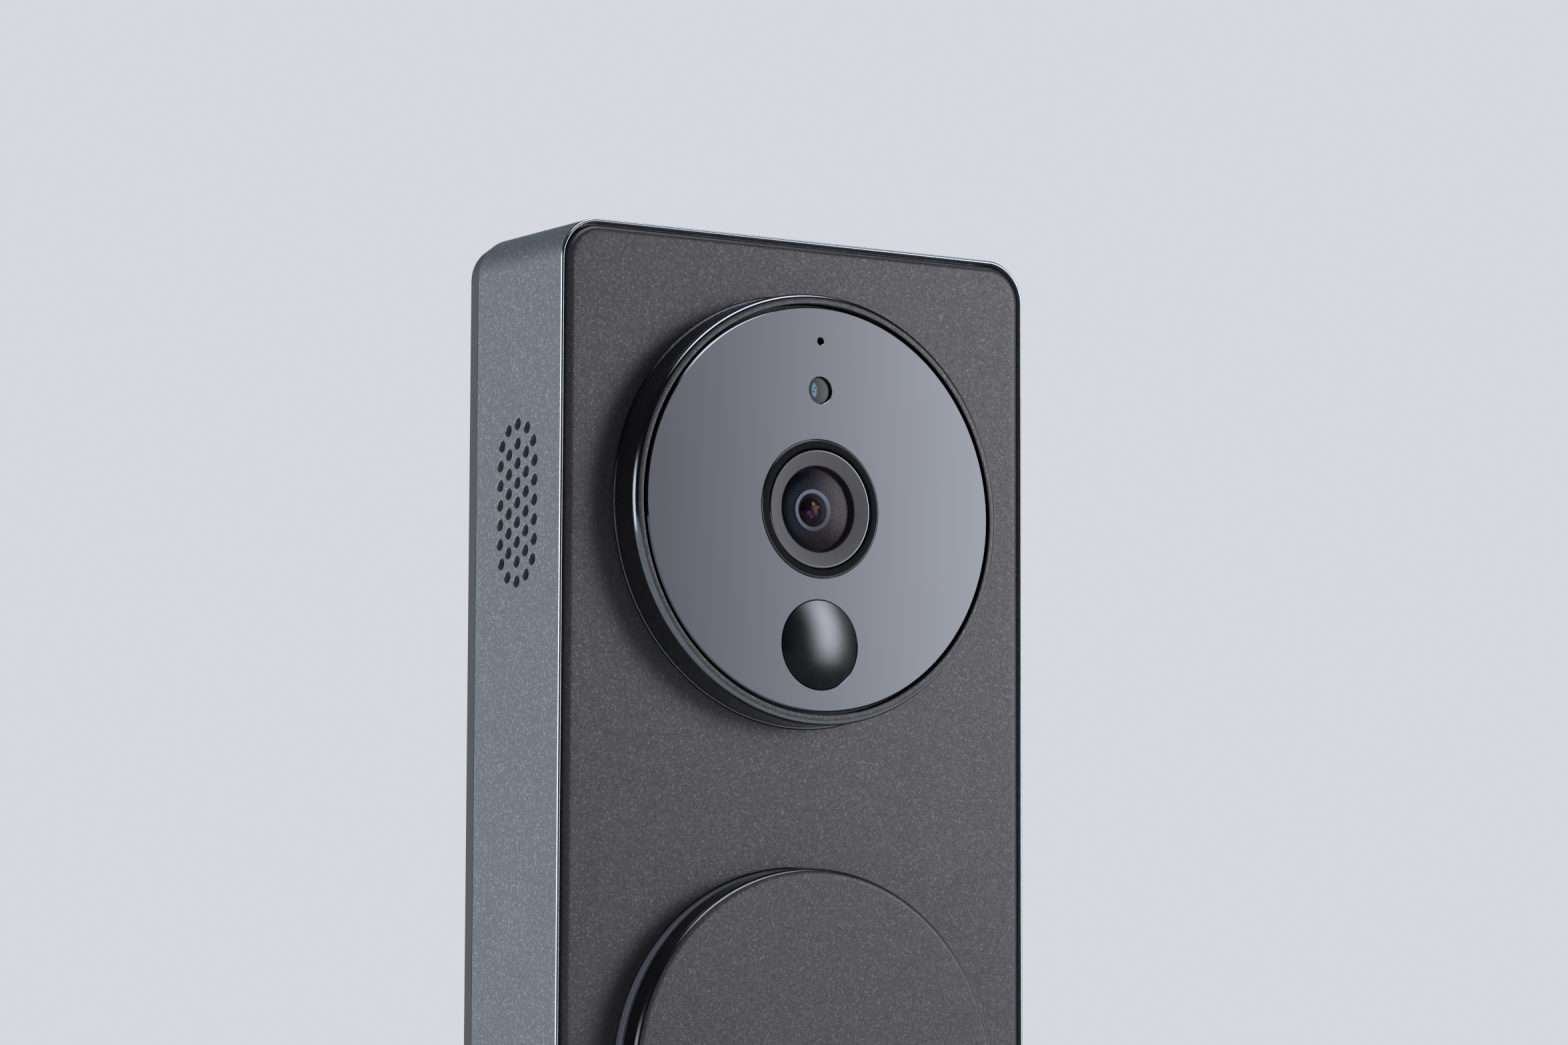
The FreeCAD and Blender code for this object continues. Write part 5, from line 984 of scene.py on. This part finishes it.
def painted_chip_glint(name, plastic, painted_glint):
    """Smoked gloss plastic with the painted bluish glint of a chip left of its middle.

    The painted glint is an ellipse with a soft edge, crossed by fine tracks that are painted
    brighter than what lies between them.
    """
    material, tree, shader = start(name, {"Roughness": 0.08, "Specular IOR Level": 0.3})
    place = add(tree, "TexCoord").outputs["Object"]
    hub = (light_place[0] - CHIP_LEFT * MM, 0, light_place[1])
    local = add(tree, "Mapping", {"vector_type": "TEXTURE"},
                {"Vector": place, "Location": hub,
                 "Scale": (CHIP_WIDE * MM, 1.0, CHIP_HIGH * MM)})
    # the chip's glint is painted: a soft bluish ellipse crossed by painted brighter tracks
    near = eased(tree, length_of(tree, local.outputs[0]), CHIP_OUT, CHIP_IN)
    lines = add(tree, "TexVoronoi", {"feature": "DISTANCE_TO_EDGE"},
                {"Vector": place, "Scale": per_mm(TRACK)})
    parts = add(tree, "MapRange", None,
                {"Value": lines.outputs["Distance"], "From Min": TRACK_EDGE,
                 "From Max": TRACK_IN, "To Min": 1.0, "To Max": BETWEEN})
    amount = worked(tree, "MULTIPLY", near, parts.outputs[0])
    colour = mixed(tree, amount, linear(plastic), linear(painted_glint))
    tree.links.new(colour, shader.inputs["Base Color"])
    return material


pipe_out = light_out - PIPE_GAP
pipe_back, pipe_front = depths("light_sensor_window")[0] / MM, front_mm - PIPE_SUNK
profile = rounded([(0, pipe_back), (pipe_out, pipe_back), (pipe_out, pipe_front, PIPE_EDGE),
                   (0, pipe_front)])
build("light_pipe", [carried(circle_path(light_place, PIPE_POINTS), profile, False)], "doorbell",
      [painted_chip_glint("smoked_plastic_with_painted_chip_glint", "38393C", "7FB4C6")],
      ["light_sensor_window"])

# %% [markdown]
# ## Push button and light ring
#
# The button is a cup with a rolled edge: its wall is polished, its face is painted like the
# front plate. The light ring stands round its foot, a frosted band lit from behind by small
# lights. Both are turned shapes about the button's axis, made as the turret is. The button
# moves, so it rides on a body of its own and is a piece apart from the ring.

# %% Button cap
BUTTON_ROLL, FACE_THICK, SKIRT_IN, SKIRT_WALL = 0.95, 1.6, 1.9, 1.1
STOP_OUT, STOP_THICK, RING_SPACE, FOOT_EDGE = 1.3, 1.2, 0.55, 0.1
FACE_EDGE, FACE_DEEP, BAND_EDGE = 0.45, 0.2, 0.12
cap_back, cap_front = (value / MM for value in depths("button_cap"))
cap_out = reach("light_ring") / MM - RING_FLANGE
skirt = cap_out - SKIRT_IN
ring_low, ring_high = (value / MM for value in depths("light_ring"))
foot = ring_high + RING_SPACE
profile = rounded([(0, cap_front - FACE_THICK), (skirt - SKIRT_WALL, cap_front - FACE_THICK),
                   (skirt - SKIRT_WALL, cap_back), (skirt + STOP_OUT, cap_back),
                   (skirt + STOP_OUT, cap_back + STOP_THICK), (skirt, cap_back + STOP_THICK),
                   (skirt, foot), (cap_out, foot, FOOT_EDGE),
                   (cap_out, cap_front, BUTTON_ROLL), (0, cap_front)])
button_path = circle_path(button)


def button_zones(centre):
    """Paint on the face, gloss on the wall and inside."""
    out, deep = from_axis(centre, button), -centre[:, 1] / MM
    return (out < cap_out - FACE_EDGE) & (deep > cap_front - FACE_DEEP)


build("push_button", [carried(button_path, profile, False)], "button",
      [finish["button_plastic"], plate_paint], ["button_cap"], button_zones)

# %% Light ring
plate_mm = plate_back / MM
profile = rounded([(cap_out - RING_FLANGE, ring_low), (cap_out + RING_FLANGE, ring_low),
                   (cap_out + RING_FLANGE, plate_mm), (cap_out, plate_mm),
                   (cap_out, ring_high, BAND_EDGE),
                   (cap_out - RING_FLANGE, ring_high, BAND_EDGE)])
build("light_band", [carried(button_path, profile)], "doorbell",
      [finish["light_ring_clear"]], ["light_ring"])

# %% [markdown]
# ## Springs
#
# Three springs of round steel wire lie inside the case. The wide one lifts the button, and two
# small ones push the pins at the back out. Each is a wire swept along a helix, as a mesh. A
# curve with a round bevel would draw the same wire. Each spring is left free of the bodies,
# and its two ends are found: the one that stays with the case, and the one that goes with
# the button or the pin.

# %% A coil of wire
SPRING_TURNS, STEPS_A_TURN, WIRE_SIDES = 4, 48, 12


def coil_sheet(low, high, wire):
    """Tube about p(t) = (a cos t, b t, a sin t), closed to a point at both ends.

    The tube's circle lies across the helix: one of its directions points away from the
    axis, and the other is square to that and to the wire.
    """
    middle_x, middle_z = (low[0] + high[0]) / 2, (low[2] + high[2]) / 2
    radius, rise = (high[0] - low[0] - wire) / 2, high[1] - low[1] - wire
    share = np.linspace(0, 1, SPRING_TURNS * STEPS_A_TURN + 1)
    turn = 2 * math.pi * SPRING_TURNS * share
    outward = np.stack([np.cos(turn), np.zeros_like(turn), np.sin(turn)], -1)
    line = outward * radius + np.array([middle_x, low[1] + wire / 2, middle_z])
    line[:, 1] += rise * share
    along = np.stack([-np.sin(turn) * radius,
                      np.full_like(turn, rise / (2 * math.pi * SPRING_TURNS)),
                      np.cos(turn) * radius], -1)
    along /= np.linalg.norm(along, axis=1, keepdims=True)
    square = np.cross(along, outward)
    round_wire = np.linspace(0, 2 * math.pi, WIRE_SIDES, endpoint=False)[None, :, None]
    tube = line[:, None] + wire / 2 * (np.cos(round_wire) * outward[:, None]
                                       + np.sin(round_wire) * square[:, None])
    ends = [np.repeat(line[at][None, None], WIRE_SIDES, axis=1) for at in (0, -1)]
    return np.concatenate([ends[0], tube, ends[1]]), False


# %% Springs between their two bodies
WIRE = {"return_spring": 0.6, "reset_spring": 0.35, "tamper_spring": 0.35}

for joint in frame["record"]["behaviour"]["joints"]:
    for spring in joint.get("deforming_nodes", []):
        node, still = spring["node"], spring["fixed_end_y_m"]
        low, high = (np.array(corner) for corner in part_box(node))
        wire = WIRE[node] * MM
        piece = build(node.replace("spring", "coil"), [coil_sheet(low, high, wire)],
                      None, [finish["spring_steel"]], [node])
        # the ends of the spring: the one that stays and the one that moves, a wire inside each
        first = (low + high) / 2
        last = first.copy()
        away = 1 if abs(still - low[1]) < abs(still - high[1]) else -1
        first[1], last[1] = (low[1], high[1]) if away > 0 else (high[1], low[1])
        first[1] += away * wire
        last[1] -= away * wire
        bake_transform(piece)

# %% [markdown]
# ## Studio
#
# A plain pale floor and a pale surround behind the doorbell. The room in front of it and its
# ceiling, which only polished faces mirror, are dimmer, as a studio is behind the camera.
# One soft lamp stands to the front right, where the glass panel mirrors it: it is bright in
# its middle and dim towards its edges, as a lamp behind cloth is. A weaker one lights the
# left side, a strip overhead draws a bright line along every upper edge, and a strip of its
# own puts a soft light on the dome. All are kept off the floor, which would burn out. The
# wide flat front plate takes no light from the left lamp, and only the line from the strip.

# %% Floor and surround
FLOOR_HALF = 4.0
ground = cad_box[0][2]
sides = np.array([[-1, -1], [1, -1], [1, 1], [-1, 1]]) * FLOOR_HALF
floor_mesh = bpy.data.meshes.new("studio_floor")
floor_mesh.from_pydata([(x, y, ground) for x, y in sides.tolist()], [], [(0, 1, 2, 3)])
floor = placed("studio_floor", floor_mesh)
floor_mesh.materials.append(plain_finish("matt_pale_paper", "DADDE1", "DCDFE3", 40.0, 0.9))
print("floor at", round(ground / MM, 2), "mm, half as wide as", FLOOR_HALF, "m")

# %% [markdown]
# ## Surround
#
# The world gives three answers, told apart by the kind of ray. The camera sees PALE. Polished
# faces mirror DIM towards the front and above, and PALE elsewhere, with a soft step between.
# The light that fills the shadows is SOFT. One plain colour for all would be simpler, but
# then the pale surround would wash out the dark case.

# %% Surround
PALE, SOFT, DIM = "D5D9DF", "666B71", "282B2F"
AHEAD, CEILING_FROM, CEILING_TO = 0.35, 0.2, 0.45  # parts of a direction of length one
world = bpy.data.worlds.new("studio")
world.use_nodes = True
bpy.context.scene.world = world
tree = world.node_tree
tree.nodes.clear()
path = add(tree, "LightPath")
mirrored = worked(tree, "MAXIMUM", path.outputs["Is Glossy Ray"],
                  path.outputs["Is Transmission Ray"])
seen = worked(tree, "MAXIMUM", mirrored, path.outputs["Is Camera Ray"])
heading = add(tree, "TexCoord").outputs["Generated"]
heading = add(tree, "SeparateXYZ", None, {"Vector": heading})
ahead = eased(tree, heading.outputs[1], AHEAD, -AHEAD)
above = eased(tree, heading.outputs[2], CEILING_FROM, CEILING_TO)
dark = worked(tree, "MAXIMUM", ahead, above)
room = worked(tree, "MULTIPLY", dark, mirrored)
shades = {name: add(tree, "Background", None,
                    {"Color": linear(code), "Strength": 1.0}).outputs[0]
          for name, code in (("soft", SOFT), ("pale", PALE), ("dim", DIM))}
backdrop = add(tree, "MixShader", None, {0: room, 1: shades["pale"], 2: shades["dim"]})
both = add(tree, "MixShader", None, {0: seen, 1: shades["soft"], 2: backdrop.outputs[0]})
add(tree, "OutputWorld", None, {"Surface": both.outputs[0]})
print("surround seen", PALE, "filling", SOFT, "mirrored", DIM)

# %% [markdown]
# ## Lamps
#
# A collection tells Blender which objects a lamp lights. Each lamp is a soft rectangle. Its
# brightness is given per area, so a mirrored lamp stays as bright when its size changes, and
# its edges fade, as those of a lamp behind cloth do.


# %% What each lamp lights
def all_but(name, *unlit):
    """Collection that lets a lamp light everything but some objects."""
    holder = bpy.data.collections.new(name)
    for one in unlit:
        holder.objects.link(one)
    for member in holder.collection_objects:
        member.light_linking.link_state = "EXCLUDE"
    return holder


def only(name, lit):
    """Collection that lets a lamp light one object alone."""
    holder = bpy.data.collections.new(name)
    holder.objects.link(lit)
    return holder


front_plate = bpy.data.objects["front_plate_shell"]
not_floor = all_but("lit_without_the_floor", floor)
not_front = all_but("lit_without_floor_and_front", floor, front_plate)
only_dome = only("only_dome", bpy.data.objects["motion_dome"])
only_floor = only("lit_floor_only", floor)
only_plate = only("lit_plate_only", front_plate)
print("front plate lit by lamps of", not_floor.name, "and", only_plate.name)


# %% A soft lamp
def lamp(name, place, aim, size, radiance, colour="FFFFFF", lights=not_floor, fade=None,
         turn=0.0):
    """Rectangular soft lamp with a brightness per area, aimed at a point.

    Each row of fade is an axis of the lamp, an edge of it, the place inside where it is
    fully bright, and the share of its brightness at the edge. With turn, the lamp is turned
    in its own plane.
    """
    data = bpy.data.lights.new(name, "AREA")
    data.shape = "RECTANGLE"
    data.size, data.size_y = size
    data.energy = radiance * math.pi * size[0] * size[1]
    data.color = linear(colour)[:3]
    holder = placed(name, data)
    holder.location = place
    heading = Vector(aim) - Vector(place)
    facing = heading.to_track_quat("-Z", "Y") @ Quaternion((0, 0, 1), turn)
    holder.rotation_euler = facing.to_euler()
    holder.light_linking.receiver_collection = lights
    data.use_nodes = bool(fade)
    if fade:
        tree = data.node_tree
        tree.nodes.clear()
        across = add(tree, "NewGeometry").outputs["Parametric"]
        across = add(tree, "SeparateXYZ", None, {"Vector": across})
        level = 1.0
        for axis, edge, inside, least in fade:
            share = eased(tree, across.outputs[axis], edge, inside, least)
            level = worked(tree, "MULTIPLY", level, share)
        glow = add(tree, "Emission", None, {"Strength": level})
        add(tree, "OutputLight", None, {"Surface": glow.outputs[0]})
    return holder


# %% Place the lamps
# for each lamp: place, what it is aimed at, size in metres, brightness and colour
case_aim, dome_aim = (0, -0.025, 0.02), (dome_place[0], 0, dome_place[1])
lamp("key_softbox", (0.461, -0.4635, 0.15), case_aim, (0.45, 0.45), 5.6, "F7F9FF",
     fade=((0, 0.0, 0.45, 0.15), (0, 1.0, 0.62, 0.1), (1, 0.0, 0.35, 0.2), (1, 1.0, 0.65, 0.2)))
lamp("dome_strip", (0.34, -0.47, 0.2), dome_aim, (0.42, 0.7), 42.0, "EEF3FF",
     lights=only_dome,
     fade=((0, 0.0, 0.5, 0.0), (0, 1.0, 0.5, 0.0), (1, 0.0, 0.4, 0.0), (1, 1.0, 0.7, 0.1)))
lamp("left_softbox", (-0.78, -0.06, 0.1), case_aim, (0.5, 0.6), 3.5, "F9FBFF",
     lights=not_front, fade=((1, 0.0, 0.4, 0.0), (1, 1.0, 0.6, 0.0)))
STRIP_TURN = math.atan2(0.45, 1.05)  # how far the strip is turned in its own plane
for name, lights in (("top_strip", not_front), ("plate_glint", only_plate)):
    strip = lamp(name, (0.075, -0.125, 0.76), (0.075, -0.125, 0.0), (1.14, 0.26), 7.5,
                 "F4F7FF", lights=lights, turn=STRIP_TURN,
                 fade=((0, 0.0, 0.3, 0.0), (0, 1.0, 0.7, 0.0), (1, 0.0, 0.35, 0.25),
                       (1, 1.0, 0.65, 0.25)))
# On the front plate the strip only draws the bright line along the upper edge.
strip.visible_diffuse = False

# %% The floor's own lamp
# The floor has a lamp of its own, a wide soft sun: it lights near and far alike, so the
# floor runs into the surround without a horizon and still keeps the doorbell's shadow.
SUN_TILT, SUN_SIZE, SUN_POWER = math.radians(20), math.radians(50), 2.83
sun_data = bpy.data.lights.new("floor_sun", "SUN")
sun_data.energy, sun_data.angle = SUN_POWER, SUN_SIZE
sun = placed("floor_sun", sun_data)
sun.rotation_euler = (0, SUN_TILT, 0)
sun.light_linking.receiver_collection = only_floor

# %% [markdown]
# ## Camera
#
# The camera stands at the lower left, a little below the middle of the turret. A long lens
# from further off keeps the case's edges nearly parallel, which a short one would splay.

# %% Camera
SENSOR_WIDE, LENS_LONG = 36.0, 133.6
CAMERA_PLACE = (-0.37194, -0.59194, -0.04117)
CAMERA_TURN = (96.4996, -0.2081, -33.0345)
NEAREST, FURTHEST = 0.01, 20.0
camera_data = bpy.data.cameras.new("camera")
camera_data.sensor_width = SENSOR_WIDE
camera_data.lens = LENS_LONG
camera_data.clip_start, camera_data.clip_end = NEAREST, FURTHEST
camera = placed("camera", camera_data)
camera.location = CAMERA_PLACE
camera.rotation_euler = [math.radians(turn) for turn in CAMERA_TURN]
bpy.context.scene.camera = camera
bpy.context.scene.view_settings.view_transform = "Standard"
print("lens", LENS_LONG, "mm on a sensor", SENSOR_WIDE, "mm wide")

# %% [markdown]
# ## Sizes and the end
#
# The finished pieces have to keep to the imported model's box.

# %% Sizes and the end
import json
